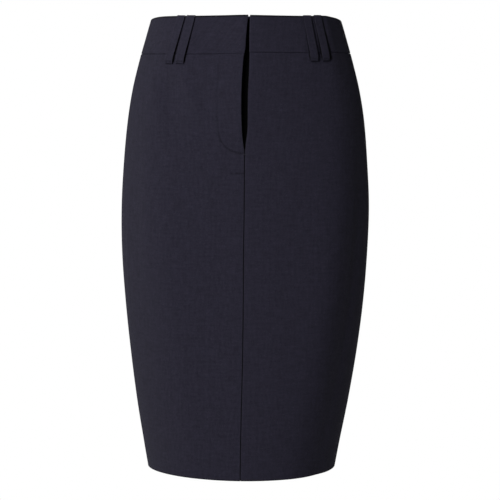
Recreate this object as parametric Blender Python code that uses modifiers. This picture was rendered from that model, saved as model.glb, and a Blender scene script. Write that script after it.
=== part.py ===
"""A knee-length pencil skirt in navy suiting, with a fly front and paired belt loops.

Metres, +Z up. The skirt keeps the hollow form that it has when it is worn. Its front faces -Y,
and the wearer's left is at +X. The origin is the middle of the waist opening, level with the
top edge of the waistband. A place on the skirt is given by an angle round the body, 0 at the
centre front, 90 degrees at the wearer's left and 180 at the centre back, and by its drop, which
is the distance straight down from the waist.
"""

import math
from collections import namedtuple

import bmesh
import bpy
from mathutils import Matrix, Vector

# Driving sizes

LENGTH = 0.635            # waist edge to hem
BAND_RIGHT = 0.0525       # height of the waistband at the centre front, wearer's right
BAND_LEFT = 0.0505        # and wearer's left
BAND_BACK = 0.0515        # and at the centre back
RIM_DIP_LEFT = 0.001      # how far the band's top edge sinks towards the wearer's left side
RIM_DIP_RIGHT = 0.0002    # and towards the right side
RIM_CORNER_LEFT = 0.0046  # how much further its corner drops at the wearer's left side
RIM_CORNER_RIGHT = 0.0036 # and at the right side
RIM_SQUARENESS = 20       # even, and the larger it is, the later the corner begins
HEM_SWING = 0.001         # the hem hangs this much above or below level
HEM_LOW_AT = math.radians(25)   # angle where it hangs lowest
HEM_EASE = 0.100          # length above the hem over which the cloth takes that up
CLOTH = 0.0014            # wall of a panel
BAND_WALL = 0.0026        # wall of the band: two layers and their stiffening
SEAM_GAP = 0.0003         # between pieces that a seam joins

FLY_END = 0.1835          # drop of the foot of the fly
FLY_WIDTH = 0.036         # from the fly's edge to its curved row of stitching
FLY_LIFT = 0.0016         # how far the fly's edge stands forward
FLY_EASE = 0.034          # length above the foot of the fly over which it comes to rest
LAP_LIFT = 0.0012         # how far the band's fastened end stands forward
UNDERLAP = 0.030          # length of the band's underlap beyond the fastened end's edge
UNDERLAP_WALL = 0.0020
UNDERLAP_DEPTH = 0.0043   # from the skirt's outer surface to the underlap's outer face
UNDERLAP_FROM = 0.006     # beyond the fastened end's edge it begins to rise to the left half
UNDERLAP_JOIN = 0.016     # and here it has reached it
UNDERLAP_BITE = 0.0005    # how far it enters the left half there
UNDERLAP_INSET = 0.0006   # how much it is narrower than the band at each edge

VENT_TOP = 0.450          # drop of the top of the back vent
VENT_LAP = 0.035          # width of the vent's underlap
VENT_DIP = 0.0021         # how far the underlap lies inside the outer flap's surface
VENT_EASE = 0.025         # length above the vent over which the right back's edge sinks
VENT_SINK = 0.012         # width before the centre back over which it sinks
VENT_LEVEL = 0.001        # and this near the centre back it is level again
VENT_STEP = 0.002         # first column of the underlap past the centre back

LOOP_WIDTH = 0.0125
LOOP_WALL = 0.0018
LOOP_TOP = -0.0008        # a loop is folded over just above the band's edge
LOOP_FOOT = 0.0655        # and its foot comes to here, unless its row in the table says otherwise

TAPE_DEPTH = 0.0024       # from the skirt's outer surface to the zip tape's outer face
TAPE_WALL = 0.0010
TAPE_HALF = 0.016         # half the width of the two tapes together
COIL_HALF = 0.0027
COIL_THICK = 0.0024
COIL_SET_BACK = 0.0035    # from the fly's edge to the middle of the coil, under the fly
ZIP_TOP = 0.0535
ZIP_FOOT = 0.1920
COIL_TOP = 0.0610
COIL_FOOT = 0.1800

SLIDER_WIDTH = 0.0064
SLIDER_TOP = 0.0570
SLIDER_FOOT = 0.0680
SLIDER_MIDDLE = (SLIDER_TOP + SLIDER_FOOT) / 2
SLIDER_PLATE = 0.0008
SLIDER_CLEAR = 0.0003
SLIDER_NECK = 0.0022      # side of the post that joins the slider's two plates
NECK_INSET = 0.0002       # from the slider's top edge to the post
PULL_WIDTH = 0.0045
PULL_WALL = 0.00064
PULL_TOP = SLIDER_FOOT - 0.0020
PULL_FOOT = 0.0880
NOTCH_HALF = 0.0018       # half the width of the slit between the tapes above the coil
NOTCH_ABOVE_COIL = 0.0006
NOTCH_DEPTH = 0.0100

HOOK_SIZE = (0.0130, 0.0090, 0.0006)   # across, down, thick
BAR_SIZE = (0.0150, 0.0050, 0.0005)
FASTENER_X = -0.0110
FASTENER_DROP = 0.0260
HOOK_DEPTH = 0.0026       # from the skirt's outer surface to the hook's outer face
BAR_DEPTH = 0.0035

# Level sections of the form. Half width is to one side, front and back are the depths before
# and behind the side seams, and sway is how far the middle has swung towards the wearer's right.
Section = namedtuple("Section", "drop half_width front back sway")
SECTIONS = (
    Section(0.000, 0.1315, 0.0920, 0.0920, 0.0000),
    Section(0.012, 0.1353, 0.0935, 0.0950, 0.0000),
    Section(0.031, 0.1408, 0.0958, 0.0995, 0.0000),
    Section(0.059, 0.1487, 0.0990, 0.1065, 0.0000),
    Section(0.100, 0.1588, 0.1045, 0.1175, 0.0000),
    Section(0.144, 0.1660, 0.1095, 0.1290, 0.0000),
    Section(0.200, 0.1711, 0.1140, 0.1370, -0.0005),
    Section(0.265, 0.1744, 0.1165, 0.1380, -0.0009),
    Section(0.330, 0.1731, 0.1180, 0.1335, -0.0018),
    Section(0.400, 0.1680, 0.1197, 0.1280, -0.0022),
    Section(0.470, 0.1600, 0.1215, 0.1235, -0.0032),
    Section(0.540, 0.1497, 0.1235, 0.1200, -0.0048),
    Section(0.600, 0.1390, 0.1252, 0.1175, -0.0061),
    Section(LENGTH, 0.1328, 0.1260, 0.1165, -0.0065),
)

# The two edges at the centre front, from the middle of the body: the right front's, which is
# uppermost, and the left front's. Below the last row they run down the centre front seam.
FlyRow = namedtuple("FlyRow", "drop over_edge under_edge")
FLY = (
    FlyRow(0.0000, 0.0034, 0.0056),
    FlyRow(0.0270, 0.0008, 0.0047),
    FlyRow(0.0470, -0.0007, 0.0046),
    FlyRow(0.0560, -0.0024, 0.0045),
    FlyRow(0.0745, -0.0039, 0.0040),
    FlyRow(0.1016, -0.0053, 0.0027),
    FlyRow(0.1290, -0.0056, 0.0022),
    FlyRow(0.1560, -0.0047, 0.0018),
    FlyRow(0.1700, -0.0034, 0.0003),
    FlyRow(FLY_END, -0.00145, -0.00115),
)

# How far the inside of a belt loop stands off the skirt, down its length.
LoopRow = namedtuple("LoopRow", "drop clear")
LOOP_PROFILE = (
    LoopRow(LOOP_TOP, 0.0004),
    LoopRow(0.0120, 0.0007),
    LoopRow(0.0300, 0.0015),
    LoopRow(0.0450, 0.0025),
    LoopRow(0.0550, 0.0029),
    LoopRow(0.0615, 0.0023),
    LoopRow(LOOP_FOOT, 0.0009),
)

# The belt loops: how far the middle of each lies from the middle of the body, at its two ends,
# and the drop of its foot.
Loop = namedtuple("Loop", "name top_x foot_x foot at_back")
LOOPS = (
    Loop("loop_right_outer", -0.0872, -0.1050, LOOP_FOOT, False),
    Loop("loop_right_inner", -0.0737, -0.0900, LOOP_FOOT, False),
    Loop("loop_left_inner", 0.0829, 0.0931, 0.0621, False),
    Loop("loop_left_outer", 0.0960, 0.1083, 0.0621, False),
    Loop("loop_back_right", -0.0095, -0.0105, LOOP_FOOT, True),
    Loop("loop_back_left", 0.0095, 0.0105, LOOP_FOOT, True),
)

# How finely the pieces are divided

PANEL_COLUMNS = 14
BAND_COLUMNS = 24
BAND_ROWS = 4
FLY_ROWS = 12
LOWER_ROWS = 18
BACK_ROWS = 15
VENT_ROWS = 7
LOOP_ROWS = 12
ZIP_ROWS = 12
CROWDING = 1.35           # above 1, columns crowd towards the centre front or the centre back

RIGHT_SIDE = -math.pi / 2
LEFT_SIDE = math.pi / 2


# Curves through the tables, and the form


def smooth_step(value):
    """0 below 0, 1 above 1, and an even rise between them."""
    value = min(max(value, 0.0), 1.0)
    return value * value * (3.0 - 2.0 * value)


def read(table, column, drop):
    """A column's value at a drop, on a smooth curve through the table's rows."""
    knots = [row.drop for row in table]
    values = [getattr(row, column) for row in table]
    last = len(knots) - 1
    drop = min(max(drop, knots[0]), knots[last])
    below = max(k for k in range(last) if knots[k] <= drop)

    def slope(k):
        before, after = max(k - 1, 0), min(k + 1, last)
        return (values[after] - values[before]) / (knots[after] - knots[before])

    span = knots[below + 1] - knots[below]
    u = (drop - knots[below]) / span
    return (
        values[below] * (1 + 2 * u) * (1 - u) ** 2
        + values[below + 1] * u * u * (3 - 2 * u)
        + span * slope(below) * u * (1 - u) ** 2
        + span * slope(below + 1) * u * u * (u - 1)
    )


def hem_swing(angle, drop):
    """How far the cloth near the hem hangs below level."""
    reached = smooth_step((drop - LENGTH) / HEM_EASE + 1.0)
    return HEM_SWING * reached * math.cos(2 * (angle - HEM_LOW_AT))


def form_point(angle, drop):
    """A point of the skirt's outer surface."""
    depth = read(SECTIONS, "front" if math.cos(angle) > 0 else "back", drop)
    return Vector((
        read(SECTIONS, "sway", drop) + read(SECTIONS, "half_width", drop) * math.sin(angle),
        -depth * math.cos(angle),
        -drop - hem_swing(angle, drop),
    ))


def form_frame(angle, drop):
    """Unit vectors at a point of the surface: round to the wearer's left, down, and outward."""
    step = 1e-3
    across = form_point(angle + step, drop) - form_point(angle - step, drop)
    down_drop = min(max(drop, step), LENGTH - step)
    down = form_point(angle, down_drop + step) - form_point(angle, down_drop - step)
    across.normalize()
    outward = down.cross(across).normalized()
    return across, across.cross(outward).normalized(), outward


def on_form(angle, drop, lift=0.0):
    """A point that stands off the surface by lift, or lies inside it where lift is negative."""
    return form_point(angle, drop) + form_frame(angle, drop)[2] * lift


def angle_at(x, drop, at_back=False):
    """The angle of the surface point at this distance from the middle of the body."""
    angle = math.asin(min(max(x / read(SECTIONS, "half_width", drop), -1.0), 1.0))
    return math.pi - angle if at_back else angle


def turned(angle, drop, distance):
    """The angle that lies this far round the surface from another."""
    step = 1e-3
    rate = (form_point(angle + step, drop) - form_point(angle - step, drop)).length / (2 * step)
    return angle + distance / rate


# Edges of the pieces


def over_edge(drop):
    """Angle of the right front's edge at the centre front."""
    return angle_at(read(FLY, "over_edge", drop), drop)


def under_edge(drop):
    """Angle of the left front's edge at the centre front."""
    return angle_at(read(FLY, "under_edge", drop), drop)


def from_over_edge(angle, drop):
    """Distance round the surface from the right front's edge, towards the wearer's right."""
    return read(SECTIONS, "half_width", drop) * (over_edge(drop) - angle)


def rim(angle):
    """Drop of the band's top edge. It is almost level, with a rounded corner at each side."""
    dip = RIM_DIP_LEFT if angle > 0 else RIM_DIP_RIGHT
    corner = RIM_CORNER_LEFT if angle > 0 else RIM_CORNER_RIGHT
    return dip * math.sin(angle) ** 6 + corner * math.sin(angle) ** RIM_SQUARENESS


def band_foot(angle):
    """Drop of the band's lower edge, where the panels are sewn on."""
    front = BAND_LEFT if angle > 0 else BAND_RIGHT
    return front + (BAND_BACK - front) * abs(angle) / math.pi


def crowded(count):
    """Fractions from 0 to 1 that crowd towards 0."""
    return [(k / count) ** CROWDING for k in range(count + 1)]


def spaced(start, end, count):
    return [start + (end - start) * k / count for k in range(count + 1)]


# Blender objects


def clear_scene():
    for stale in list(bpy.data.objects):
        bpy.data.objects.remove(stale, do_unlink=True)


def new_collection(name):
    collection = bpy.data.collections.new(name)
    bpy.context.scene.collection.children.link(collection)
    return collection


def new_material(name, colour, roughness, metallic=0.0):
    material = bpy.data.materials.new(name)
    material.use_nodes = True
    shader = material.node_tree.nodes["Principled BSDF"]
    shader.inputs["Base Color"].default_value = (*colour, 1.0)
    shader.inputs["Roughness"].default_value = roughness
    shader.inputs["Metallic"].default_value = metallic
    material.diffuse_color = (*colour, 1.0)
    return material


def new_object(name, bm, collection, material=None):
    """An object in its collection that takes over a bmesh."""
    mesh = bpy.data.meshes.new(name)
    bm.to_mesh(mesh)
    bm.free()
    piece = bpy.data.objects.new(name, mesh)
    collection.objects.link(piece)
    if material:
        mesh.materials.append(material)
    mesh.shade_smooth()
    mesh.set_sharp_from_angle(angle=math.radians(40))
    return piece


def cloth(name, columns, rows, place, wall, collection, material, side=-1.0):
    """A sheet of columns by rows, thickened by Solidify, inward or with side = 1 outward.

    place(column, row) gives a point, or None where the sheet has no cloth.
    """
    bm = bmesh.new()
    points = [[place(column, row) for row in rows] for column in columns]
    grid = [[bm.verts.new(point) if point else None for point in line] for line in points]
    for one, following in zip(grid, grid[1:]):
        for k in range(len(rows) - 1):
            corners = (one[k], one[k + 1], following[k + 1], following[k])
            if None not in corners:
                bm.faces.new(corners)
    piece = new_object(name, bm, collection, material)
    solidify = piece.modifiers.new("Wall", "SOLIDIFY")
    solidify.thickness = wall
    solidify.offset = side
    solidify.use_even_offset = True
    return piece


def plate(name, x, drop, depth, size, collection, material):
    """A flat plate that lies inside the front. depth is from the surface to its outer face."""
    across, down, outward = form_frame(angle_at(x, drop), drop)
    centre = on_form(angle_at(x, drop), drop, -(depth + size[2] / 2))
    bm = bmesh.new()
    bmesh.ops.create_cube(bm, size=1.0)
    bmesh.ops.scale(bm, vec=Vector(size), verts=bm.verts)
    turn = Matrix((across, -down, outward)).transposed().to_4x4()
    bmesh.ops.transform(bm, matrix=Matrix.Translation(centre) @ turn, verts=bm.verts)
    return new_object(name, bm, collection, material)


def combine(piece, other, operation):
    """Joins another object to a piece, or cuts it out, and hides that object from the build."""
    boolean = piece.modifiers.new(other.name, "BOOLEAN")
    boolean.operation = operation
    boolean.object = other
    other.hide_render = True
    other.display_type = "WIRE"


# The panels


def fly_lift(angle, drop):
    """How far the right front stands forward at the fly."""
    risen = smooth_step(1.0 - from_over_edge(angle, drop) / FLY_WIDTH)
    return FLY_LIFT * risen * smooth_step((FLY_END - drop) / FLY_EASE)


def make_front(name, edge, side, lift, skirt, material):
    """A front panel, from its edge at the centre front to the side seam."""
    drops = spaced(BAND_RIGHT, FLY_END, FLY_ROWS) + spaced(FLY_END, LENGTH, LOWER_ROWS)[1:]
    fractions = crowded(PANEL_COLUMNS)
    if side < 0:
        fractions = fractions[::-1]

    def place(fraction, drop):
        end = turned(side, drop, -math.copysign(SEAM_GAP / 2, side))
        angle = edge(drop) + (end - edge(drop)) * fraction
        if drop == BAND_RIGHT:
            drop = band_foot(angle) + SEAM_GAP
        return on_form(angle, drop, lift(angle, drop))

    return cloth(name, fractions, drops, place, CLOTH, skirt, material)


def back_drops():
    return spaced(BAND_BACK, VENT_TOP, BACK_ROWS) + spaced(VENT_TOP, LENGTH, VENT_ROWS)[1:]


def vent_dip(past_centre, drop):
    """How far the right back sinks beneath the left back's flap in the vent."""
    reached = smooth_step((past_centre + VENT_SINK) / (VENT_SINK - VENT_LEVEL))
    return -VENT_DIP * reached * smooth_step((drop - VENT_TOP) / VENT_EASE + 1.0)


def make_back_left(skirt, material):
    """The left back, from its side seam to the centre back. Its edge is the vent's outer flap."""

    def place(fraction, drop):
        side = turned(LEFT_SIDE, drop, SEAM_GAP / 2)
        centre = turned(math.pi, drop, -SEAM_GAP / 2)
        angle = centre + (side - centre) * fraction
        if drop == BAND_BACK:
            drop = band_foot(angle) + SEAM_GAP
        return on_form(angle, drop)

    columns = crowded(PANEL_COLUMNS)[::-1]
    return cloth("back_left", columns, back_drops(), place, CLOTH, skirt, material)


def make_back_right(skirt, material):
    """The right back, with the vent's underlap, which reaches past the centre back."""
    lap = spaced(-VENT_LAP, -VENT_LAP / 3, 2) + [-VENT_STEP]

    def place(fraction, drop):
        side = turned(RIGHT_SIDE, drop, -SEAM_GAP / 2)
        centre = turned(-math.pi, drop, SEAM_GAP / 2)
        past_centre = -fraction
        if fraction < 0:
            if drop < VENT_TOP:
                return None
            angle = turned(-math.pi, drop, fraction)
        else:
            angle = centre + (side - centre) * fraction
            past_centre = -(form_point(angle, drop) - form_point(-math.pi, drop)).length
        if drop == BAND_BACK:
            drop = band_foot(angle) + SEAM_GAP
        return on_form(angle, drop, vent_dip(past_centre, drop))

    columns = lap + crowded(PANEL_COLUMNS)
    return cloth("back_right", columns, back_drops(), place, CLOTH, skirt, material)


# The waistband


def make_band_half(name, edge, end, lift, skirt, material):
    """Half of the band, from its end at the centre front round to the centre back seam."""
    fractions = crowded(BAND_COLUMNS)
    if end < 0:
        fractions = fractions[::-1]

    def place(fraction, level):
        back = turned(end, 0.0, -math.copysign(SEAM_GAP / 2, end))
        angle = edge(level * BAND_RIGHT) + (back - edge(level * BAND_RIGHT)) * fraction
        drop = rim(angle) + (band_foot(angle) - rim(angle)) * level
        return on_form(angle, drop, lift(angle, drop))

    return cloth(name, fractions, spaced(0, 1, BAND_ROWS), place, BAND_WALL, skirt, material)


def lap_lift(angle, drop):
    """How far the band's fastened end stands forward."""
    return LAP_LIFT * smooth_step(1.0 - from_over_edge(angle, drop) / FLY_WIDTH)


def make_underlap(helpers, material):
    """The tab that carries the left half of the band on behind the fastened end."""
    steps = spaced(-UNDERLAP, 0.0, 4) + spaced(UNDERLAP_FROM, UNDERLAP_JOIN, 3)
    joined_depth = BAND_WALL - UNDERLAP_BITE

    def place(step, level):
        drop = BAND_LEFT * level
        x = read(FLY, "over_edge", drop) + step
        sunk = smooth_step((UNDERLAP_JOIN - step) / (UNDERLAP_JOIN - UNDERLAP_FROM))
        depth = joined_depth + (UNDERLAP_DEPTH - joined_depth) * sunk
        return on_form(angle_at(x, drop), drop + UNDERLAP_INSET * (1 - 2 * level), -depth)

    return cloth("underlap", steps, spaced(0, 1, BAND_ROWS), place, UNDERLAP_WALL, helpers, material)


# Belt loops


def make_loop(loop, skirt, material):
    """A loop of doubled cloth, bowed off the band and sewn down at both ends."""
    reach = loop.foot - LOOP_TOP

    def place(across, drop):
        share = (drop - LOOP_TOP) / reach
        x = loop.top_x + (loop.foot_x - loop.top_x) * share
        level = max(drop, 0.0)
        angle = turned(angle_at(x, level, loop.at_back), level, across)
        clear = read(LOOP_PROFILE, "clear", LOOP_TOP + (LOOP_FOOT - LOOP_TOP) * share)
        return on_form(angle, level, clear) + Vector((0.0, 0.0, level - drop))

    sides = spaced(-LOOP_WIDTH / 2, LOOP_WIDTH / 2, 2)
    drops = spaced(LOOP_TOP, loop.foot, LOOP_ROWS)
    return cloth(loop.name, sides, drops, place, LOOP_WALL, skirt, material, side=1.0)


# Zip and waist fastening


def coil_x(drop):
    """How far the middle of the coil lies from the middle of the body."""
    return read(FLY, "over_edge", drop) - COIL_SET_BACK


def make_zip(skirt, helpers, material):
    """The two tapes and the closed coil, with the slit above the coil where the tapes part."""

    def strip(name, half, depth, top, foot, wall, collection):
        def place(across, drop):
            return on_form(angle_at(coil_x(drop) + across, drop), drop, -depth)

        return cloth(
            name, spaced(-half, half, 4), spaced(top, foot, ZIP_ROWS), place, wall, collection, material
        )

    zip_piece = strip("zip", TAPE_HALF, TAPE_DEPTH, ZIP_TOP, ZIP_FOOT, TAPE_WALL, skirt)
    coil_depth = TAPE_DEPTH - (COIL_THICK - TAPE_WALL) / 2
    coil = strip("coil", COIL_HALF, coil_depth, COIL_TOP, COIL_FOOT, COIL_THICK, helpers)
    combine(zip_piece, coil, "UNION")

    height = COIL_TOP - ZIP_TOP - NOTCH_ABOVE_COIL
    size = (2 * NOTCH_HALF, 2 * height, NOTCH_DEPTH)
    notch = plate("notch", coil_x(SLIDER_MIDDLE), ZIP_TOP, 0.0, size, helpers, material)
    combine(zip_piece, notch, "DIFFERENCE")


def make_slider(skirt, helpers, material):
    """The slider, closed to the top: two plates round the coil, their post, and the pull."""
    coil_depth = TAPE_DEPTH - (COIL_THICK - TAPE_WALL) / 2
    outer_depth = coil_depth - SLIDER_CLEAR - SLIDER_PLATE
    inner_depth = coil_depth + COIL_THICK + SLIDER_CLEAR
    x = coil_x(SLIDER_MIDDLE)
    body = (SLIDER_WIDTH, SLIDER_FOOT - SLIDER_TOP, SLIDER_PLATE)
    slider = plate("zip_slider", x, SLIDER_MIDDLE, outer_depth, body, skirt, material)
    inner = plate("slider_inner_plate", x, SLIDER_MIDDLE, inner_depth, body, helpers, material)

    # The post and the pull begin part of the way into the outer plate.
    post_depth = outer_depth + SLIDER_PLATE / 4
    post_size = (SLIDER_NECK, SLIDER_NECK, inner_depth + SLIDER_PLATE / 2 - outer_depth)
    post_drop = SLIDER_TOP + SLIDER_NECK / 2 + NECK_INSET
    post = plate("slider_post", x, post_drop, post_depth, post_size, helpers, material)
    pull_drop = (PULL_TOP + PULL_FOOT) / 2
    pull_depth = outer_depth + (SLIDER_PLATE - PULL_WALL) / 2
    pull_size = (PULL_WIDTH, PULL_FOOT - PULL_TOP, PULL_WALL)
    pull = plate("slider_pull", coil_x(pull_drop), pull_drop, pull_depth, pull_size, helpers, material)
    for other in (inner, post, pull):
        combine(slider, other, "UNION")


def main():
    clear_scene()
    skirt = new_collection("Pencil skirt")
    helpers = new_collection("Cutters")
    suiting = new_material("Navy suiting", (0.024, 0.023, 0.034), 0.85)
    tape = new_material("Black zip tape", (0.005, 0.005, 0.006), 0.8)
    metal = new_material("Dark nickel", (0.16, 0.16, 0.17), 0.4, 1.0)

    make_front("front_right", over_edge, RIGHT_SIDE, fly_lift, skirt, suiting)
    make_front("front_left", under_edge, LEFT_SIDE, lambda angle, drop: 0.0, skirt, suiting)
    make_back_left(skirt, suiting)
    make_back_right(skirt, suiting)
    make_band_half("waistband_right", over_edge, -math.pi, lap_lift, skirt, suiting)
    left_half = make_band_half(
        "waistband_left", under_edge, math.pi, lambda angle, drop: 0.0, skirt, suiting
    )
    combine(left_half, make_underlap(helpers, suiting), "UNION")
    for loop in LOOPS:
        make_loop(loop, skirt, suiting)
    make_zip(skirt, helpers, tape)
    make_slider(skirt, helpers, metal)
    plate("waist_hook", FASTENER_X, FASTENER_DROP, HOOK_DEPTH, HOOK_SIZE, skirt, metal)
    plate("waist_bar", FASTENER_X, FASTENER_DROP, BAR_DEPTH, BAR_SIZE, skirt, metal)


main()
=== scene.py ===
# %% [markdown]
# # A pencil skirt in navy suiting
#
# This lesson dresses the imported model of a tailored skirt: four cloth panels, a waistband in two
# halves, paired belt loops, a fly with its zip, and the sewing that holds them together. The
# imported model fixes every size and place. Here each piece becomes real cloth: thin, turned in at
# its seams, pressed, stitched and woven.
#
# Metres, +Z up, the front faces -Y and the wearer's left is at +X. The origin is the middle of
# the waist opening. A place on the skirt is an angle round the body, 0 at the centre front and
# positive towards the wearer's left, and a drop, the distance straight down from the waist.

# %% Open the frame
import math
from collections import namedtuple

import bmesh
import bpy
import numpy as np
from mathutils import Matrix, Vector


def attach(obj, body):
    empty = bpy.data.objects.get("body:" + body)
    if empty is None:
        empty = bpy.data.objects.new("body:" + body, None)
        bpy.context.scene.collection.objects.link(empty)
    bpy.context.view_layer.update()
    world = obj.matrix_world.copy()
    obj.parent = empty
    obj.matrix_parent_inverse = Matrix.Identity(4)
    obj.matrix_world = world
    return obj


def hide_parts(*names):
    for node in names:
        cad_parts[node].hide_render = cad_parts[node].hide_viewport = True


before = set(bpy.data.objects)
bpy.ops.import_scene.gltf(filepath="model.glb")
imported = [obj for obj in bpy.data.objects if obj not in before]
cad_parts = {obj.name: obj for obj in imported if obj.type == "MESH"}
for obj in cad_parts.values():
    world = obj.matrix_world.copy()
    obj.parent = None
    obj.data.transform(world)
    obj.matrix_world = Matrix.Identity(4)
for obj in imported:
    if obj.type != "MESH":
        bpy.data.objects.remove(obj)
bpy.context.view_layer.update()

# %% [markdown]
# ## The camera
#
# A catalogue picture of a skirt is taken from a few metres away with a long lens, so that the
# hem looks no smaller than the waist. The camera stands level with the belt and is tilted down a
# little. It could track an empty with a constraint, but a fixed place and tilt are easier to read.

# %% Camera
CAMERA_PLACE = (0.0057, -3.2, -0.060)
CAMERA_TILT_DOWN = math.radians(4.792)
FOCAL_PER_WIDTH = 2272 / 500      # focal length over the width of the picture
SENSOR_WIDTH = 36.0               # millimetres

camera_data = bpy.data.cameras.new("Catalogue camera")
camera_data.sensor_width = SENSOR_WIDTH
camera_data.lens = SENSOR_WIDTH * FOCAL_PER_WIDTH
camera_data.clip_end = 40
camera = bpy.data.objects.new("Catalogue camera", camera_data)
camera.location = CAMERA_PLACE
camera.rotation_euler = (math.pi / 2 - CAMERA_TILT_DOWN, 0.0, 0.0)
bpy.context.scene.collection.objects.link(camera)
bpy.context.scene.camera = camera
print("lens", round(camera_data.lens, 2), "mm")

# %% [markdown]
# ## The skirt's form
#
# A skirt is cut flat, but on a figure it becomes a tube whose level sections are nearly
# elliptical. It could be draped with the cloth simulation, and then its seams would wander from
# the solids. So its form is worked out from the same level sections as the solids: half the
# width, the depth before and behind the side seams, and how far the middle swings sideways. A
# smooth curve runs through each column of the table.

# %% Tables of levels
Section = namedtuple("Section", "drop half_width front back sway")
LENGTH = 0.635
SECTIONS = (
    Section(0.000, 0.1315, 0.0920, 0.0920, 0.0000),
    Section(0.012, 0.1353, 0.0935, 0.0950, 0.0000),
    Section(0.031, 0.1408, 0.0958, 0.0995, 0.0000),
    Section(0.059, 0.1487, 0.0990, 0.1065, 0.0000),
    Section(0.100, 0.1588, 0.1045, 0.1175, 0.0000),
    Section(0.144, 0.1660, 0.1095, 0.1290, 0.0000),
    Section(0.200, 0.1711, 0.1140, 0.1370, -0.0005),
    Section(0.265, 0.1744, 0.1165, 0.1380, -0.0009),
    Section(0.330, 0.1731, 0.1180, 0.1335, -0.0018),
    Section(0.400, 0.1680, 0.1197, 0.1280, -0.0022),
    Section(0.470, 0.1600, 0.1215, 0.1235, -0.0032),
    Section(0.540, 0.1497, 0.1235, 0.1200, -0.0048),
    Section(0.600, 0.1390, 0.1252, 0.1175, -0.0061),
    Section(LENGTH, 0.1328, 0.1260, 0.1165, -0.0065),
)


def through(rows, column, drop):
    """Reads a column of a table of levels, on a smooth curve through its rows."""
    knots = np.array([row.drop for row in rows])
    values = np.array([getattr(row, column) for row in rows])
    last = len(knots) - 1
    before = np.maximum(np.arange(last + 1) - 1, 0)
    after = np.minimum(np.arange(last + 1) + 1, last)
    slope = (values[after] - values[before]) / (knots[after] - knots[before])
    drop = np.clip(drop, knots[0], knots[last])
    k = np.clip(np.searchsorted(knots, drop, side="right") - 1, 0, last - 1)
    span = knots[k + 1] - knots[k]
    u = (drop - knots[k]) / span
    return (
        values[k] * (1 + 2 * u) * (1 - u) ** 2
        + values[k + 1] * u * u * (3 - 2 * u)
        + span * slope[k] * u * (1 - u) ** 2
        + span * slope[k + 1] * u * u * (u - 1)
    )


def smooth_step(value):
    """0 below 0, 1 above 1 and a soft slope between them."""
    value = np.clip(value, 0.0, 1.0)
    return value * value * (3.0 - 2.0 * value)


def bell(away):
    """1 at zero, falling softly to nothing on both sides."""
    return np.exp(-away ** 2)


def half_width(drop):
    return through(SECTIONS, "half_width", drop)


print(len(SECTIONS), "levels, half a metre down it is", round(2 * float(half_width(0.5)), 3), "m wide")

# %% A point of the form
HEM_SWING = 0.001                 # the hem hangs this much above or below level
HEM_LOW_AT = math.radians(25)
HEM_EASE = 0.100                  # and swings into it over this length
STEP = 1e-3                       # directions on the form are taken over steps of this size


def form_point(angle, drop):
    """Points of the outer surface. angle and drop may be arrays."""
    depth = np.where(
        np.cos(angle) > 0, through(SECTIONS, "front", drop), through(SECTIONS, "back", drop)
    )
    swing = HEM_SWING * smooth_step((drop - LENGTH) / HEM_EASE + 1) * np.cos(2 * (angle - HEM_LOW_AT))
    x = through(SECTIONS, "sway", drop) + half_width(drop) * np.sin(angle)
    return np.stack([x, -depth * np.cos(angle), -drop - swing], axis=-1)


def unit(vectors):
    return vectors / np.linalg.norm(vectors, axis=-1, keepdims=True)


def form_across(angle, drop):
    """Direction level round the form, towards growing angles."""
    return unit(form_point(angle + STEP, drop) - form_point(angle - STEP, drop))


def form_normal(angle, drop):
    inner = np.clip(drop, STEP, LENGTH - STEP)
    down = form_point(angle, inner + STEP) - form_point(angle, inner - STEP)
    return unit(np.cross(down, form_across(angle, drop)))


def raised(angle, drop, height):
    """Points that stand this far off the form."""
    return form_point(angle, drop) + form_normal(angle, drop) * height[..., None]


def angle_at(x, drop, at_back=False):
    """Angle of the surface point this far from the middle of the body."""
    angle = np.arcsin(np.clip(x / half_width(drop), -1, 1))
    return math.pi - angle if at_back else angle


def girth(drop):
    around = form_point(np.linspace(-math.pi, math.pi, 721), np.full(721, drop))
    return np.linalg.norm(np.diff(around, axis=0), axis=1).sum()


for name, level in (("waist edge", 0.0), ("hips", 0.265), ("hem", LENGTH)):
    print(f"girth at the {name}: {girth(level):.3f} m")

# %% [markdown]
# ## Where the pieces meet
#
# The right front laps over the left one, as on most skirts for women, and the fly stands a little
# open so that the black zip tape shows between the two edges. The edges are read from a second
# table, in the same way as the form. The band's lower edge isn't quite level, because its two
# halves were cut to slightly different heights.

# %% Edges at the centre front, the band and the vent
FlyRow = namedtuple("FlyRow", "drop over_edge under_edge")
FLY_END = 0.1835
FLY = (
    FlyRow(0.0000, 0.0034, 0.0056),
    FlyRow(0.0270, 0.0008, 0.0047),
    FlyRow(0.0470, -0.0007, 0.0046),
    FlyRow(0.0560, -0.0024, 0.0045),
    FlyRow(0.0745, -0.0039, 0.0040),
    FlyRow(0.1016, -0.0053, 0.0027),
    FlyRow(0.1290, -0.0056, 0.0022),
    FlyRow(0.1560, -0.0047, 0.0018),
    FlyRow(0.1700, -0.0034, 0.0003),
    FlyRow(FLY_END, -0.00145, -0.00115),
)
BAND_RIGHT, BAND_LEFT, BAND_BACK = 0.0525, 0.0505, 0.0515    # drop of the band's lower edge
RIM_DIP_LEFT, RIM_DIP_RIGHT = 0.001, 0.0002           # the rim is this much lower at the sides
RIM_CORNER_LEFT, RIM_CORNER_RIGHT = 0.0046, 0.0036    # and its corners fall off this much more
RIM_SQUARENESS = 20
SEAM_GAP = 0.0003
VENT_TOP = 0.450
VENT_LAP = 0.035
FLY_WIDTH = 0.036
FLY_LIFT = 0.0016                 # how far the fly's edge stands off, over the zip
FLY_EASE = 0.034                  # length over which it comes down to its foot
LAP_LIFT = 0.0012                 # the same for the band's fastened end


def over_edge(drop):
    return angle_at(through(FLY, "over_edge", drop), drop)


def under_edge(drop):
    return angle_at(through(FLY, "under_edge", drop), drop)


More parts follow.
